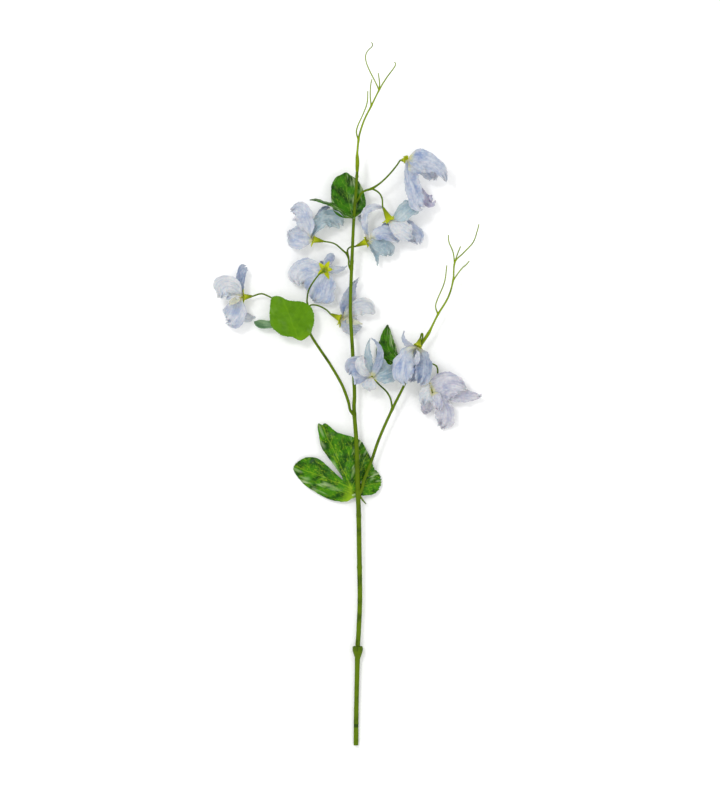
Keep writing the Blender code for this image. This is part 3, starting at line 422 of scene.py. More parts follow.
def petal_material(tone):
    """Dyed petal silk, crinkled by hand: matt and a little sheer, with patches of deeper dye, lengthwise
    veins, and painted shade and painted highlight on its crinkles.
    """
    body, deep, rim = TONES[tone]
    material, tree, shader = start_material(
        f"petal_silk_{tone}", 0.7, 1.42, **{"Sheen Weight": 0.12, "Sheen Roughness": 0.55,
                                            "Subsurface Weight": 0.08, "Subsurface Scale": 0.001,
                                            "Specular IOR Level": 0.15})
    uv = add(tree, "ShaderNodeUVMap", None, "UV", uv_map="UVMap")
    place = add(tree, "ShaderNodeSeparateXYZ", {"Vector": uv})
    painted = add(tree, "ShaderNodeAttribute", None, "Vector", attribute_name="dye_cream_and_painted_shading")
    dye_cream_and_painted_shading = add(tree, "ShaderNodeSeparateXYZ", {"Vector": painted})
    veins = streaks(tree, uv, 2.0, 15, 3, 1.7)
    threads = streaks(tree, uv, 5, 40, 2, 4.1)
    patches = mottle(tree, 6, 3, 0.3)
    painted_crumple_shading = mottle(tree, 2.4, 4, 3.7)
    # the dye is deepest where the washes lie, and breaks up into blots
    blots = add(tree, "ShaderNodeMapRange", {"Value": patches, "From Min": 0.3, "From Max": 0.6,
                                             "To Min": 0.35, "To Max": 1.1}, "Result")
    dye = add(tree, "ShaderNodeMath", {0: dye_cream_and_painted_shading.outputs[0], 1: blots}, 0, operation="MULTIPLY")
    sides = add(tree, "ShaderNodeMath", {0: place.outputs[1], 1: 0.5}, 0, operation="SUBTRACT")
    sides = add(tree, "ShaderNodeMath", {0: sides}, 0, operation="ABSOLUTE")
    rims = add(tree, "ShaderNodeMath", {0: sides, 1: 0.5, 2: place.outputs[0]}, 0, operation="MULTIPLY_ADD")
    color = paint(tree, linear(body), (
        (dye, 0.05, 0.95, 0.95, deep),
        (patches, 0.42, 0.7, 0.4, rim),
        # painted shade and painted highlight: crumple-sized blots of the deep and the pale rim colours
        (painted_crumple_shading, 0.48, 0.3, 0.4, deep),
        (painted_crumple_shading, 0.5, 0.7, 0.45, rim),
        (veins, 0.5, 0.72, 0.36, deep),
        (rims, 0.95, 1.2, 0.6, rim),
        (dye_cream_and_painted_shading.outputs[1], 0.0, 1.0, 0.95, CREAM),
        (threads, 0.5, 0.7, 0.2, deep),
        # painted shade in the hollows of the crinkles and painted highlight on their ridges, from the relief
        # height
        (dye_cream_and_painted_shading.outputs[2], 0.5, 0.05, 0.5, deep),
        (dye_cream_and_painted_shading.outputs[2], 0.55, 0.95, 0.6, rim)))
    tree.links.new(color, shader.inputs["Base Color"])
    # crinkles about 1.6 mm apart under lengthwise threads, drawn coarser than real silk so that they show
    relief(tree, shader, ((mottle(tree, 1.6, 3, 2.1), 0.35, 0.6), (veins, 0.6, 0.7), (threads, 0.35, 0.4)))
    return material


def leaf_material(name, dark, bright, vein, speckle, roughness, painted_highlight_share):
    """Printed leaf cloth, waxed and pressed with its veins: gloss over mottled green, with pale streaks of
    painted highlight.
    """
    material, tree, shader = start_material(name, roughness, 1.45, **{"Specular IOR Level": 0.14})
    uv = add(tree, "ShaderNodeUVMap", None, "UV", uv_map="UVMap")
    wobble = add(tree, "ShaderNodeTexNoise", {"Vector": uv, "Scale": 6.0, "Detail": 3.0}, "Color")
    shift = add(tree, "ShaderNodeVectorMath", {0: wobble, 1: (0.5, 0.5, 0.5)}, 0, operation="SUBTRACT")
    bent = add(tree, "ShaderNodeVectorMath", {0: shift, 1: (0.09, 0.09, 0), 2: uv}, 0,
               operation="MULTIPLY_ADD")
    parts = add(tree, "ShaderNodeSeparateXYZ", {"Vector": bent})
    across = add(tree, "ShaderNodeMath", {0: parts.outputs[1], 1: 0.5}, 0, operation="SUBTRACT")
    across = add(tree, "ShaderNodeMath", {0: across}, 0, operation="ABSOLUTE")
    slant = add(tree, "ShaderNodeMath", {0: across, 1: -0.75, 2: parts.outputs[0]}, 0,
                operation="MULTIPLY_ADD")
    steps = add(tree, "ShaderNodeMath", {0: slant, 1: 8.0}, 0, operation="MULTIPLY")
    side_veins = add(tree, "ShaderNodeMath", {0: steps, 1: 1.0}, 0, operation="PINGPONG")
    patches = mottle(tree, 9, 4, 0.7)
    grain = streaks(tree, uv, 10, 24, 4, 3.3)
    specks = mottle(tree, 1.6, 2, 4.4)
    painted_highlight_streaks = streaks(tree, uv, 1.6, 5, 2, 8.3)
    color = paint(tree, linear(dark), (
        (patches, 0.34, 0.62, 1.0, bright),
        (parts.outputs[0], 0.13, -0.05, 0.6, vein),
        (side_veins, 0.12, 0.0, 0.14, vein),
        (across, 0.02, 0.004, 0.3, vein),
        (grain, 0.52, 0.7, speckle, vein),
        (specks, 0.6, 0.72, speckle, vein),
        # painted highlight: pale streaks along the blade for the gloss of the waxed cloth
        (painted_highlight_streaks, 0.54, 0.72, painted_highlight_share, "#BDD29C")))
    tree.links.new(color, shader.inputs["Base Color"])
    relief(tree, shader, ((side_veins, 0.4, 0.6), (mottle(tree, 3.5, 3, 5.0), 0.5, 0.9), (grain, 0.3, 0.4)))
    return material


def stem_material(name, dark, bright, roughness):
    """Moulded soft plastic over wire, with the fine lengthwise ribs of a green stem."""
    material, tree, shader = start_material(name, roughness, 1.46, **{"Specular IOR Level": 0.12})
    uv = add(tree, "ShaderNodeUVMap", None, "UV", uv_map="UVMap")
    ribs = streaks(tree, uv, 0.5, 9, 3, 2.3)
    color = paint(tree, linear(dark), (
        (mottle(tree, 14, 3, 1.1), 0.25, 0.55, 0.75, bright),
        (ribs, 0.45, 0.7, 0.6, bright)))
    tree.links.new(color, shader.inputs["Base Color"])
    relief(tree, shader, ((ribs, 0.4, 0.5),))
    return material


def calyx_material():
    """Moulded calyx, dyed lime yellow and greener towards the stalk, with a downy bloom."""
    material, tree, shader = start_material("calyx_moulded_lime", 0.6, 1.45,
                                            **{"Sheen Weight": 0.04, "Specular IOR Level": 0.12})
    uv = add(tree, "ShaderNodeUVMap", None, "UV", uv_map="UVMap")
    parts = add(tree, "ShaderNodeSeparateXYZ", {"Vector": uv})
    ribs = streaks(tree, uv, 1.2, 12, 3, 0.9)
    color = paint(tree, linear("#B4BE10"), (
        (parts.outputs[0], 0.7, 0.1, 0.9, "#5F7206"),
        (ribs, 0.4, 0.7, 0.45, "#7C8A0A"),
        (mottle(tree, 4, 2, 6.2), 0.55, 0.75, 0.5, "#D6D860")))
    tree.links.new(color, shader.inputs["Base Color"])
    relief(tree, shader, ((ribs, 0.5, 0.6),))
    return material


def floor_material():
    """Matt white studio board, with a faint tooth."""
    material, tree, shader = start_material("studio_board_white", 0.9, 1.45, **{"Specular IOR Level": 0.1})
    color = paint(tree, linear("#FAFAFA"), ((mottle(tree, 3, 2, 0.2), 0.3, 0.7, 1.0, "#FDFDFD"),))
    tree.links.new(color, shader.inputs["Base Color"])
    return material


def unit(vector):
    """The vector's direction, one unit long."""
    return Vector(vector).normalized()


def smooth(low, high, value):
    """0 below low, 1 above high, and an even blend between them."""
    share = min(1.0, max(0.0, (value - low) / (high - low)))
    return share * share * (3 - 2 * share)


def stem_height(y):
    """How high the middle of the stem lies at a place along it."""
    return FOOT_RADIUS + STEM_RISE * y


def curve_point(points, position):
    """Catmull-Rom curve through the points; position runs from 0 to the number of spans."""
    span = min(int(position), len(points) - 2)
    share = position - span
    before = points[span - 1] if span > 0 else points[0] * 2 - points[1]
    start, end = points[span], points[span + 1]
    after = points[span + 2] if span + 2 < len(points) else end * 2 - start
    return 0.5 * (2 * start + (end - before) * share
                  + (2 * before - 5 * start + 4 * end - after) * share ** 2
                  + (3 * start - before - 3 * end + after) * share ** 3)


def outline_share(outline, place):
    """Half width at a place along a lobe, on a smooth curve through the outline's points."""
    table = OUTLINES[outline]
    slopes = []
    for index in range(len(table)):
        low, high = table[max(index - 1, 0)], table[min(index + 1, len(table) - 1)]
        slopes.append((high[1] - low[1]) / (high[0] - low[0]))
    for index in range(len(table) - 1):
        (start, low), (end, high) = table[index], table[index + 1]
        if place <= end or index == len(table) - 2:
            span = end - start
            t = min(1.0, (place - start) / span)
            return ((2 * t ** 3 - 3 * t ** 2 + 1) * low + (t ** 3 - 2 * t ** 2 + t) * span * slopes[index]
                    + (3 * t ** 2 - 2 * t ** 3) * high + (t ** 3 - t ** 2) * span * slopes[index + 1])
    return table[-1][1]


def bezier(points, place):
    """A point on a curve with four control points; place runs from 0 to 1."""
    a, b, c, d = points
    rest = 1 - place
    return a * rest ** 3 + b * 3 * rest ** 2 * place + c * 3 * rest * place ** 2 + d * place ** 3


def middle_line(start, handle, belly, tip):
    """Bezier control points of a curve that leaves along the handle and passes the belly halfway."""
    second = start + handle
    third = (belly * 8 - start - second * 3 - tip) / 3
    return start, second, third, tip


def to_frame(point):
    """A table point in the frame, in metres, kept just clear of the floor."""
    placed = point + CUT_END
    placed.z = max(placed.z, FLOOR_CLEARANCE)
    return placed * MM


def choose(*pieces):
    """Select these pieces and no others; operators act on the first."""
    bpy.ops.object.select_all(action="DESELECT")
    for piece in pieces:
        piece.select_set(True)
    if pieces:
        bpy.context.view_layer.objects.active = pieces[0]


def grid_piece(name, rows, columns):
    """A flat grid to be shaped; its UV runs 0 to 1 along it and across it."""
    choose()
    bpy.ops.mesh.primitive_grid_add(x_subdivisions=rows, y_subdivisions=columns, size=2, calc_uvs=True)
    piece = bpy.context.object
    piece.name = name
    piece.data.name = name
    return piece


def thicken(piece, thickness, offset=0):
    """Give a blade its thickness in mm: both ways from its middle, or back from its face at offset -1."""
    modifier = piece.modifiers.new("thickness", "SOLIDIFY")
    modifier.thickness = thickness * MM
    modifier.offset = offset
    choose(piece)
    bpy.ops.object.modifier_apply(modifier=modifier.name)


def close_seam(piece, caps):
    """Merge the seam of a rolled grid, cap its ends where asked, and turn its faces one way."""
    choose(piece)
    bpy.ops.object.mode_set(mode="EDIT")
    bpy.ops.mesh.select_all(action="SELECT")
    bpy.ops.mesh.remove_doubles(threshold=SEAM)
    if caps:
        bpy.ops.mesh.fill_holes(sides=0)
        bpy.ops.mesh.select_all(action="SELECT")
    bpy.ops.mesh.normals_make_consistent(inside=False)
    bpy.ops.object.mode_set(mode="OBJECT")


def join(name, pieces):
    """Join pieces into one, which keeps each one's material."""
    choose(*pieces)
    if len(pieces) > 1:
        bpy.ops.object.join()
    pieces[0].name = name
    pieces[0].data.name = name
    return pieces[0]


def finish(piece, node, angle=50):
    """Smooth a finished piece where its faces meet under an angle, and have it stand for its CAD node."""
    choose(piece)
    bpy.ops.object.shade_smooth_by_angle(angle=math.radians(angle))
    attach(piece, "root")
    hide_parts(node)


def spun_frames(centres):
    """Two cross vectors for each point of a path, carried along it without twist."""
    frames, side = [], None
    for index in range(len(centres)):
        along = unit(centres[min(index + 1, len(centres) - 1)] - centres[max(index - 1, 0)])
        if side is None:
            side = along.orthogonal()
        side = unit(side - along * side.dot(along))
        frames.append((side, along.cross(side)))
    return frames


def tube(name, centres, radii, sides, material, ripple=0.03, seed=0.0, frames=None):
    """Roll a grid round a path, with a slightly uneven skin, and close it."""
    rows = len(centres) - 1
    piece = grid_piece(name, rows, sides)
    frames = frames or spun_frames(centres)
    lengths = [0.0]
    for first, second in zip(centres, centres[1:]):
        lengths.append(lengths[-1] + (second - first).length)
    uv_layer = piece.data.uv_layers[0]
    for loop in piece.data.loops:
        place = uv_layer.data[loop.index].uv
        row = round(place.x * rows)
        uv_layer.data[loop.index].uv = (lengths[row] / 10, place.y)
    for vertex in piece.data.vertices:
        row = round((vertex.co.x + 1) / 2 * rows)
        turn = round((vertex.co.y + 1) / 2 * sides) % sides
        angle = 2 * math.pi * turn / sides
        side, up = frames[row]
        out = side * math.cos(angle) + up * math.sin(angle)
        spot = Vector((math.cos(angle) * 1.3, math.sin(angle) * 1.3 + seed, lengths[row] / 7))
        skin = 1 + ripple * noise.noise(spot)
        vertex.co = to_frame(centres[row] + out * radii[row] * skin)
    piece.data.materials.append(material)
    close_seam(piece, True)
    return piece


def smooth_run(run, spacing=RING_SPACING):
    """Centres and radii on a smooth curve through a run of (x, y, z, radius), in even steps."""
    points = [Vector(point[:3]) for point in run]
    radii = [Vector((point[3], 0, 0)) for point in run]
    centres, sizes = [], []
    for span in range(len(points) - 1):
        count = max(2, round((points[span + 1] - points[span]).length / spacing))
        for step in range(count):
            centres.append(curve_point(points, span + step / count))
            sizes.append(curve_point(radii, span + step / count).x)
    centres.append(points[-1])
    sizes.append(radii[-1].x)
    return centres, sizes


def calyx_frame(blossom):
    """The hub, the axis out of the blossom, and the neck where its stalk ends."""
    hub, axis = Vector(blossom.hub), unit(blossom.axis)
    return hub, axis, hub - axis * blossom.calyx_length


def blade_rows(line, near_face, far_face, rows):
    """For each row of a blade: its middle point, the way along, the way across, and the normal."""
    result = []
    for index in range(rows + 1):
        place = index / rows
        along = unit(bezier(line, min(place + 0.01, 1)) - bezier(line, max(place - 0.01, 0)))
        face = unit(near_face.lerp(far_face, smooth(0, 0.45, place)))
        side = unit(along.cross(face))
        result.append((bezier(line, place), along, side, side.cross(along)))
    return result


def line_length(line):
    """The length of a Bezier curve, in twelve steps."""
    points = [bezier(line, step / 12) for step in range(13)]
    return sum((second - first).length for first, second in zip(points, points[1:]))


def petal_vertex(row, u, v, length, lobe, look, seed):
    """A crinkled petal: cupped, ruffled along its edges, frayed and notched at its tip, with its relief."""
    centre, along, side, normal = row
    hand = 3.1 if v > 0 else 0.0
    edge = max(abs(v), smooth(0.5, 1.0, u))
    fray = noise.noise(Vector((u * length / FRAY, v * lobe.half_width / FRAY, seed)))
    fray += 0.6 * noise.noise(Vector((u * length / FINE_FRAY, v * lobe.half_width / FINE_FRAY, seed + 2)))
    ragged = smooth(0.7, 1.0, edge)
    width = lobe.half_width * outline_share(lobe.outline, u) * math.sqrt(1 - 0.6 * smooth(0.86, 1.0, u) ** 2)
    width *= 1 + 0.14 * smooth(0.2, 0.5, u) * noise.noise(Vector((u * length / SWELLS, hand, seed + 5)))
    cup = lobe.cup if look.cup is None else look.cup
    opened = smooth(0.15, 0.6, u)
    phase = seed * 1.7 + (0.31 if v > 0 else 0.0)
    wander = 0.45 * noise.noise(Vector((u * 3, seed, 0)))
    wave = math.sin(2 * math.pi * (u * length / RUFFLE_WAVE + phase + wander))
    frill = math.sin(2 * math.pi * (v * lobe.half_width / FRILL_WAVE + seed * 2.3))
    ruffle = look.ruffle * min(lobe.half_width, RUFFLE_LIMIT)
    lift = cup * width * (v * v - 0.35) * (0.35 + 0.65 * opened)
    lift += ruffle * opened * smooth(0.25, 1.0, abs(v)) * wave
    lift += ruffle * 0.8 * smooth(0.7, 1.0, u) * frill
    lift += look.curl * smooth(0.5, 1.0, u) ** 2
    fold = noise.noise(Vector((v * width / FOLDS[0] + 0.6 * u, u * length / FOLDS[1], seed + 4)))
    crease = 1 - 2 * abs(noise.noise(Vector((v * width / CREASES[0], u * length / CREASES[1], seed + 8))))
    fine = noise.noise(Vector((v * width / CRUMPLES[0], u * length / CRUMPLES[1], seed + 12)))
    lift += smooth(0.05, 0.4, u) * (1.0 * fold + 0.4 * crease) + 0.26 * fine
    reach = 0.35 * lobe.half_width * (1 - v * v) * u ** 6
    reach -= look.notch * length * math.exp(-(v / 0.3) ** 2) * u ** 8
    reach += ragged * smooth(0.75, 1.0, u) * 1.1 * fray
    across = width * v + 0.6 * ragged * fray * (1 if v > 0 else -1)
    # relief height of the crinkles, which the material paints as shade in the hollows and highlight on the
    # ridges
    height = 0.5 + 0.55 * fold + 0.25 * (crease - 0.5) + 0.35 * fine
    height += 0.12 * wave * smooth(0.5, 1.0, abs(v))
    return centre + side * across + normal * lift + along * reach, min(1.0, max(0.0, height))


def petal_lobe(name, blossom, letter, lobe, look, layer, seed, material):
    """One lobe of a petal, from the hub along its middle line, with its dye, its cream base and its relief
    height for painted shade and highlight, as one attribute.
    """
    hub, axis, _ = calyx_frame(blossom)
    heading = Vector(lobe.belly)
    out = unit(heading - axis * heading.dot(axis))
    start = hub + axis * (LAYER_STEP * layer) + out * (1.0 - 0.1 * layer)
    line = middle_line(start, (out * 0.65 + axis * 0.75) * 4.0, hub + heading, hub + Vector(lobe.tip))
    length = line_length(line)
    facing = axis * 0.45 + Vector((0, 0, 1 if axis.z > 0 else -1))
    rows = max(PETAL_ROWS[0], min(PETAL_ROWS[1], round(length / PETAL_WEAVE)))
    columns = max(PETAL_COLUMNS[0], min(PETAL_COLUMNS[1], round(2 * lobe.half_width / PETAL_WEAVE)))
    piece = grid_piece(name, rows, columns)
    frames = blade_rows(line, unit(axis - out * 0.6), unit(facing), rows)
    # per point: dye depth, cream share, and the relief height used for painted shade and highlight
    dye_cream_and_painted_shading = piece.data.attributes.new("dye_cream_and_painted_shading", "FLOAT_VECTOR", "POINT")
    for vertex in piece.data.vertices:
        u, v = (vertex.co.x + 1) / 2, vertex.co.y
        point, height = petal_vertex(frames[round(u * rows)], u, v, length, lobe, look, seed)
        spot = point - hub
        depth = max(deep * math.exp(-((spot.x - x) ** 2 + (spot.y - y) ** 2) / reach ** 2)
                    for x, y, reach, deep in WASHES[letter])
        dye_cream_and_painted_shading.data[vertex.index].vector = (depth, 1 - smooth(0.05, look.cream, u), height)
        vertex.co = to_frame(point)
    piece.data.materials.append(material)
    return piece


def build_petals(node, blossom, letter, lobes, layer, materials):
    """The lobes of one petal layer, cut from thin silk and given its thickness."""
    pieces = []
    for index, (lobe, look) in enumerate(zip(lobes, LOOKS[node])):
        seed = (ord(letter) * 0.37 + layer * 1.3 + index * 2.9) % 7
        pieces.append(petal_lobe(f"{node}_lobe_{index + 1}", blossom, letter, lobe, look, layer, seed,
                                 materials[look.tone]))
    piece = join(f"{node}_petals", pieces)
    thicken(piece, PETAL_THICKNESS)
    finish(piece, node, 75)


def leaf_vertex(row, u, v, length, leaf, seed):
    """A pressed leaf: folded along its midrib, pillowed between its side veins, and faintly toothed."""
    centre, along, side, normal = row
    tooth = noise.noise(Vector((u * length / 1.8, v * 3, seed)))
    width = leaf.half_width * outline_share(leaf.outline, u) * math.sqrt(1 - 0.6 * smooth(0.94, 1.0, u) ** 2)
    lift = leaf.fold * width * (1.3 * abs(v) - 0.35)
    pillow = math.cos(2 * math.pi * 8 * (u - 0.375 * abs(v)))
    lift += 0.22 * pillow * smooth(0.08, 0.4, abs(v)) * smooth(0, 0.3, u)
    lift += 0.05 * leaf.half_width * math.sin(2 * math.pi * (u * 1.4 + seed)) * abs(v)
    lift += 1.5 * noise.noise(Vector((v * width / 8, u * length / 9, seed)))
    reach = 0.15 * leaf.half_width * (1 - v * v) * u ** 6
    across = width * v * (1 + 0.06 * noise.noise(Vector((u * 4, 3.0 if v > 0 else 0.0, seed))))
    across += 0.4 * smooth(0.8, 1, abs(v)) * tooth
    return centre + side * across + normal * lift + along * reach


def build_leaf(node, leaf, seed, material):
    """A leaf on its short stalk."""
    base, belly, tip = Vector(leaf.base), Vector(leaf.belly), Vector(leaf.tip)
    line = middle_line(base, (belly - base) * 0.5, belly, tip)
    length = line_length(line)
    rows, columns = round(length / LEAF_WEAVE), max(12, round(2 * leaf.half_width / LEAF_WEAVE))
    piece = grid_piece(f"{node}_blade", rows, columns)
    face = unit(leaf.face)
    frames = blade_rows(line, face, face, rows)
    for vertex in piece.data.vertices:
        u, v = (vertex.co.x + 1) / 2, vertex.co.y
        vertex.co = to_frame(leaf_vertex(frames[round(u * rows)], u, v, length, leaf, seed))
    piece.data.materials.append(material)
    thicken(piece, LEAF_THICKNESS)
    stalk = unit(belly - base)
    run = ((*(base - stalk * 2.0), 1.0), (*(base + stalk * 3), 0.9), (*(base + stalk * 9), 0.55))
    root = tube(f"{node}_stalk", *smooth_run(run, 1.2), THIN_SIDES, material)
    finish(join(f"{node}_blade", [piece, root]), node, 60)


def closed_curve_point(points, position):
    """Catmull-Rom curve round a closed ring of points."""
    count = len(points)
    span = int(position) % count
    ring = [points[(span + offset) % count] for offset in (-1, 0, 1, 2)]
    return curve_point(ring, 1 + position - int(position))


def vein_uv(piece, veins):
    """Lay each face's UV along the vein nearest to it: along the vein, and across from 0.5."""
    layer = piece.data.uv_layers[0]
    for face in piece.data.polygons:
        centre = Vector((*face.center[:2], 0)) / MM - Vector((*CUT_END[:2], 0))
        best = None
        for x0, y0, x1, y1, half_width in veins:
            start, way = Vector((x0, y0, 0)), Vector((x1 - x0, y1 - y0, 0))
            share = min(1.0, max(0.0, (centre - start).dot(way) / way.length_squared))
            gap = (centre - start - way * share).length
            if best is None or gap < best[0]:
                best = (gap, start, way, half_width)
        _, start, way, half_width = best
        across = Vector((-way.y, way.x, 0)).normalized()
        for loop in face.loop_indices:
            corner = piece.data.vertices[piece.data.loops[loop].vertex_index].co
            place = Vector((*corner[:2], 0)) / MM - Vector((*CUT_END[:2], 0)) - start
            layer.data[loop].uv = (place.dot(way) / way.length_squared,
                                   0.5 + place.dot(across) / (2 * half_width))


def build_plate(node, plate, veins, material, seed, notch=None):
    """A broad leaf of rings round the point its veins run out from, nicked at the notch."""
    middle = Vector(plate.middle)
    edge = [Vector(corner) for corner in plate.edge]
    piece = grid_piece(f"{node}_blade", PLATE_RINGS, PLATE_SPOKES)
    for vertex in piece.data.vertices:
        share = (vertex.co.x + 1) / 2
        turn = round((vertex.co.y + 1) / 2 * PLATE_SPOKES) % PLATE_SPOKES
        rim = closed_curve_point(edge, turn / PLATE_SPOKES * len(edge))
        point = middle.lerp(rim, share)
        point.z = middle.z + (rim.z - middle.z) * share ** 1.5
        tooth = noise.noise(Vector((turn * 0.9, seed, 0))) * (1 + 2.2 * smooth(12, 21, rim.x))
        if notch:
            tooth -= 3.4 * math.exp(-(rim.xy - Vector(notch)).length_squared / 2.5)
        point += unit(rim - middle) * (0.9 * tooth * smooth(0.8, 1.0, share))
        point.z += 2.2 * smooth(0, 0.3, share) * noise.noise(Vector((point.x / 12, point.y / 12, seed)))
        point.z += 0.4 * noise.noise(Vector((point.x / 3.5, point.y / 3.5, seed + 3)))
        vertex.co = to_frame(point)
    close_seam(piece, False)
    if piece.data.polygons[0].normal.z < 0:
        piece.data.flip_normals()
    vein_uv(piece, veins)
    piece.data.materials.append(material)
    thicken(piece, LEAF_THICKNESS)
    finish(piece, node, 60)


def main_stem_point(y):
    """The centre and radius of the main stem at a height up it."""
    for (x0, y0, r0), (x1, y1, r1) in zip(MAIN_STEM, MAIN_STEM[1:]):
        if y <= y1:
            share = (y - y0) / (y1 - y0)
            return (x0 + (x1 - x0) * share, y, stem_height(y), r0 + (r1 - r0) * share)
    return None


def knuckle(centres, radii, places, gain, reach):
    """Swell a stem a little at each place along it."""
    return [radius * (1 + gain * max(math.exp(-(((centre - place).length) / reach) ** 2) for place in places))
            for centre, radius in zip(centres, radii)]


def branching(node, runs, material, root=None):
    """A shoot of several runs: each grows out of the one before it, with a knuckle at the joint."""
    joints = [Vector(run[0][:3]) for run in runs[1:]] or [Vector(runs[0][0][:3])]
    pieces = []
    for index, run in enumerate(runs):
        if isinstance(run[-1], str):
            _, axis, neck = calyx_frame(BLOSSOMS[run[-1]])
            run = run[:-1] + ((*(neck - axis * 1.5), run[-2][3]), (*(neck + axis * 0.8), run[-2][3] * 1.15))
        if index == 0 and root:
            run = (root,) + run
        centres, radii = smooth_run(run)
        if index > 0:
            radii = knuckle(centres, radii, centres[:1], 0.5, 2.0)
        else:
            radii = knuckle(centres, radii, joints, 0.28, 2.4)
        pieces.append(tube(f"{node}_{index + 1}", centres, radii, THIN_SIDES, material, 0.07, index * 1.9))
    finish(join(f"{node}_branches", pieces), node)


def build_lower_stem(material, groove_shade_material):
    """The cut stem, with a moulded groove near its foot, painted dark as its shade, and the flared collar at
    its top.
    """
    run = [(x, y, stem_height(y), radius) for x, y, radius in LOWER_STEM]
    centres, radii = smooth_run(run)
    x_top = LOWER_STEM[-1][0]
    centres += [Vector((x_top + 0.3, y, stem_height(y))) for y, _ in COLLAR]
    radii += [radius for _, radius in COLLAR]
    up = unit(centres[1] - centres[0])
    side = up.orthogonal().normalized()
    piece = tube("lower_stem_moulding", centres, radii, STEM_SIDES, material, 0.03, 0.4,
                 [(side, up.cross(side))] * len(centres))
    piece.data.materials.append(groove_shade_material)
    # the faces in the groove take the darker copy of the stem finish, as painted shade
    for face in piece.data.polygons:
        if RING_FOOT < face.center.y / MM - CUT_END.y < RING_TOP:
            face.material_index = 1
    finish(piece, "lower_stem")


def build_main_stem(material):
    """The wired main stem, with its joints, and the small thorn under the base leaf."""
    run = [(x, y, stem_height(y), radius) for x, y, radius in MAIN_STEM]
    centres, radii = smooth_run(run)
    joints = [Vector(main_stem_point(y)[:3]) for y in STEM_JOINTS]
    radii = knuckle(centres, radii, joints, 0.13, 1.9)
    bumps = [Vector(main_stem_point(y)[:3]) for y in STEM_BUMPS]
    radii = knuckle(centres, radii, bumps, 0.3, 1.3)
    stem = tube("main_stem_moulding", centres, radii, STEM_SIDES, material, 0.04, 2.2)
    thorn = tube("main_stem_thorn", *smooth_run(THORN, 1.0), THIN_SIDES, material, 0.08)
    finish(join("main_stem_moulding", [stem, thorn]), "main_stem")


def build_calyx(letter, blossom, seed, material):
    """A ribbed funnel from the stalk, open at its rim, with five pointed sepals."""
    hub, axis, _ = calyx_frame(blossom)
    length = blossom.calyx_length
    profile = [(share * length, radius) for share, radius in FUNNEL] + list(FUNNEL_RIM)
    centres = [hub - axis * back for back, _ in profile]
    side = axis.orthogonal().normalized()
    up = axis.cross(side)
    funnel = tube(f"calyx_{letter}_funnel", centres, [radius for _, radius in profile], CALYX_SIDES, material,
                  0.06, seed, [(side, up)] * len(centres))
    for loop in funnel.data.uv_layers[0].data:
        loop.uv.x = min(0.62, loop.uv.x * 10 / length * 0.62)
    pieces = [funnel]
    for step in range(5):
        angle = 2 * math.pi * (step + 0.15 * math.sin(seed + step)) / 5 + seed
        out = side * math.cos(angle) + up * math.sin(angle)
        reach = SEPAL_REACH[letter] * (1 + 0.28 * math.sin(step * 2.4 + seed))
        start = hub + out * 2.9 - axis * 1.4
        belly = hub + out * (3.6 + 0.42 * reach) - axis * 0.2
        tip = hub + out * (3.4 + reach) + axis * (0.1 * reach - 0.6)
        line = middle_line(start, (out * 0.6 + axis * 0.6) * 1.6, belly, tip)
        sepal = grid_piece(f"calyx_{letter}_sepal_{step + 1}", SEPAL_ROWS, SEPAL_COLUMNS)
        frames = blade_rows(line, unit(axis - out * 0.5), axis, SEPAL_ROWS)
        for vertex in sepal.data.vertices:
            u, v = (vertex.co.x + 1) / 2, vertex.co.y
            centre, _, across, normal = frames[round(u * SEPAL_ROWS)]
            width = SEPAL_HALF_WIDTH * outline_share("sepal", u)
            lift = 0.25 * width * (v * v - 0.3) + 0.25 * noise.noise(Vector((u * 4, v * 2, seed + step)))
            vertex.co = to_frame(centre + across * width * v + normal * lift)
        for loop in sepal.data.uv_layers[0].data:
            loop.uv.x = 0.55 + 0.45 * loop.uv.x
        sepal.data.materials.append(material)
        thicken(sepal, SEPAL_THICKNESS, -1)
        pieces.append(sepal)
    finish(join(f"calyx_{letter}_cup", pieces), f"calyx_{letter}", 60)


def build_floor():
    """A plain pale floor, at the height the spray rests on."""
    choose()
    bpy.ops.mesh.primitive_plane_add(size=FLOOR_SIZE, location=(0, 0, 0))
    floor = bpy.context.object
    floor.name = "floor"
    floor.data.materials.append(floor_material())


def area_light(name, place, size, power):
    """A round soft box that faces the middle of the floor."""
    light = bpy.data.lights.new(name, "AREA")
    light.shape = "DISK"
    light.size = size
    light.energy = power
    item = bpy.data.objects.new(name, light)
    item.location = place
    item.rotation_euler = (-Vector(place)).to_track_quat("-Z", "Y").to_euler()
    bpy.context.scene.collection.objects.link(item)


def build_studio():
    """Even light from a white room and two large soft boxes, and a long lens straight above."""
    world = bpy.data.worlds.new("white_room")
    world.use_nodes = True
    background = world.node_tree.nodes["Background"]
    background.inputs["Color"].default_value = (1, 1, 1, 1)
    background.inputs["Strength"].default_value = ROOM_LIGHT
    bpy.context.scene.world = world
    area_light("soft_box_key", KEY_PLACE, KEY_SIZE, KEY_POWER)
    area_light("soft_box_fill", FILL_PLACE, FILL_SIZE, FILL_POWER)
    lens = bpy.data.cameras.new("camera")
    lens.sensor_fit = "VERTICAL"
    lens.sensor_height = SENSOR_HEIGHT
    lens.lens = SENSOR_HEIGHT * CAMERA_HEIGHT / FRAME_HEIGHT
    camera = bpy.data.objects.new("camera", lens)
    camera.location = (VIEW_CENTRE[0], VIEW_CENTRE[1], CAMERA_HEIGHT)
    bpy.context.scene.collection.objects.link(camera)
    bpy.context.scene.camera = camera
    bpy.context.scene.view_settings.view_transform = "Standard"
    bpy.context.scene.view_settings.look = "None"


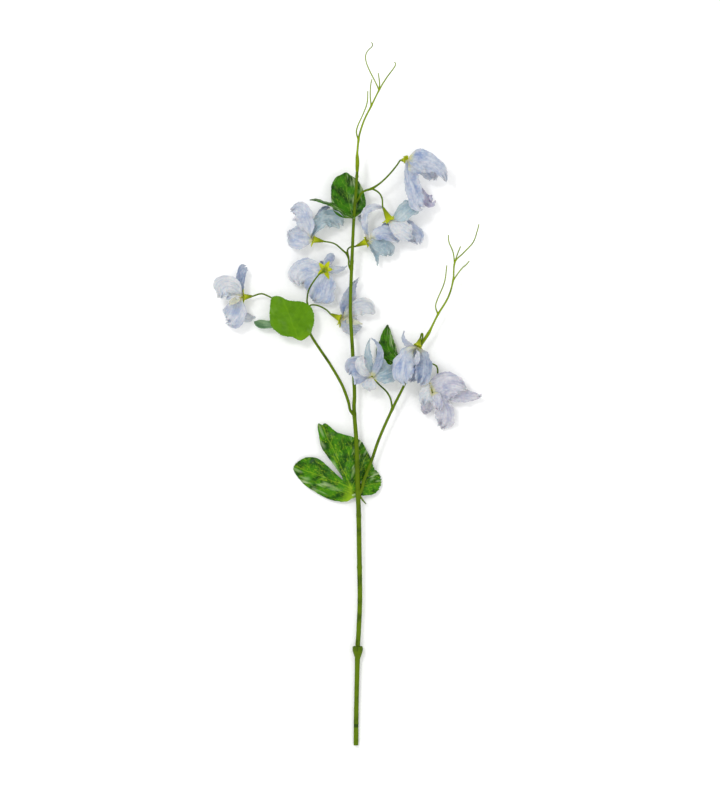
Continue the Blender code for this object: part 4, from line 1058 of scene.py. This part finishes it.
def build():
    """Every piece of the spray, and the studio round it."""
    petals = {tone: petal_material(tone) for tone in TONES}
    stem = stem_material("stem_moulded_olive", "#324800", "#5C7600", 0.5)
    # a darker copy of the stem finish, painted into the groove near the cut end as its shade
    ring = stem_material("stem_groove_painted_shade", "#223804", "#2F4A06", 0.55)
    tendril = stem_material("tendril_moulded_lime", "#566E00", "#849A10", 0.5)
    # the last number of each leaf finish is the share of its painted highlight streaks
    glossy = leaf_material("leaf_waxed_deep_green", "#123F00", "#3A7600", "#9CBE20", 0.42, 0.3, 0.7)
    dark = leaf_material("leaf_waxed_dark_green", "#103800", "#357200", "#8EB43A", 0.25, 0.28, 0.75)
    yellow = leaf_material("leaf_matt_yellow_green", "#4B7800", "#548300", "#6E9A0C", 0.12, 0.5, 0.06)
    grey = leaf_material("leaf_matt_grey_green", "#4F7650", "#7C9C76", "#A3B997", 0.4, 0.55, 0.5)
    calyx = calyx_material()
    build_lower_stem(stem, ring)
    build_main_stem(stem)
    branching("left_shoot", LEFT_SHOOT, stem, main_stem_point(330))
    branching("right_shoot", RIGHT_SHOOT, stem, main_stem_point(250))
    branching("upper_peduncle", UPPER_PEDUNCLE, stem, main_stem_point(541))
    branching("middle_peduncle", MIDDLE_PEDUNCLE, stem, main_stem_point(474))
    branching("top_tendril", TOP_TENDRIL, tendril, (1.2, 572, 21.9, 1.45))
    branching("right_tendril", RIGHT_TENDRIL, tendril, (63.5, 397.5, 13, 1.15))
    for seed, (letter, blossom) in enumerate(BLOSSOMS.items()):
        build_calyx(letter, blossom, seed * 0.7, calyx)
        for layer, part in enumerate(("banner", "wings", "keel")):
            build_petals(f"{part}_{letter}", blossom, letter, getattr(blossom, part), layer, petals)
    finishes = {"shoot_leaf_small": grey, "top_leaf_round": dark, "top_leaf_edge": dark,
                "right_leaf_dark": dark, "right_leaf_pale": glossy}
    for seed, (node, leaf) in enumerate(LEAVES.items()):
        build_leaf(node, leaf, seed * 1.3, finishes[node])
    build_plate("base_leaf", PLATES["base_leaf"], BASE_VEINS, glossy, 1.1, BASE_NOTCH)
    build_plate("shoot_leaf_large", PLATES["shoot_leaf_large"], SHOOT_VEINS, yellow, 4.2)
    build_floor()
    build_studio()


build()
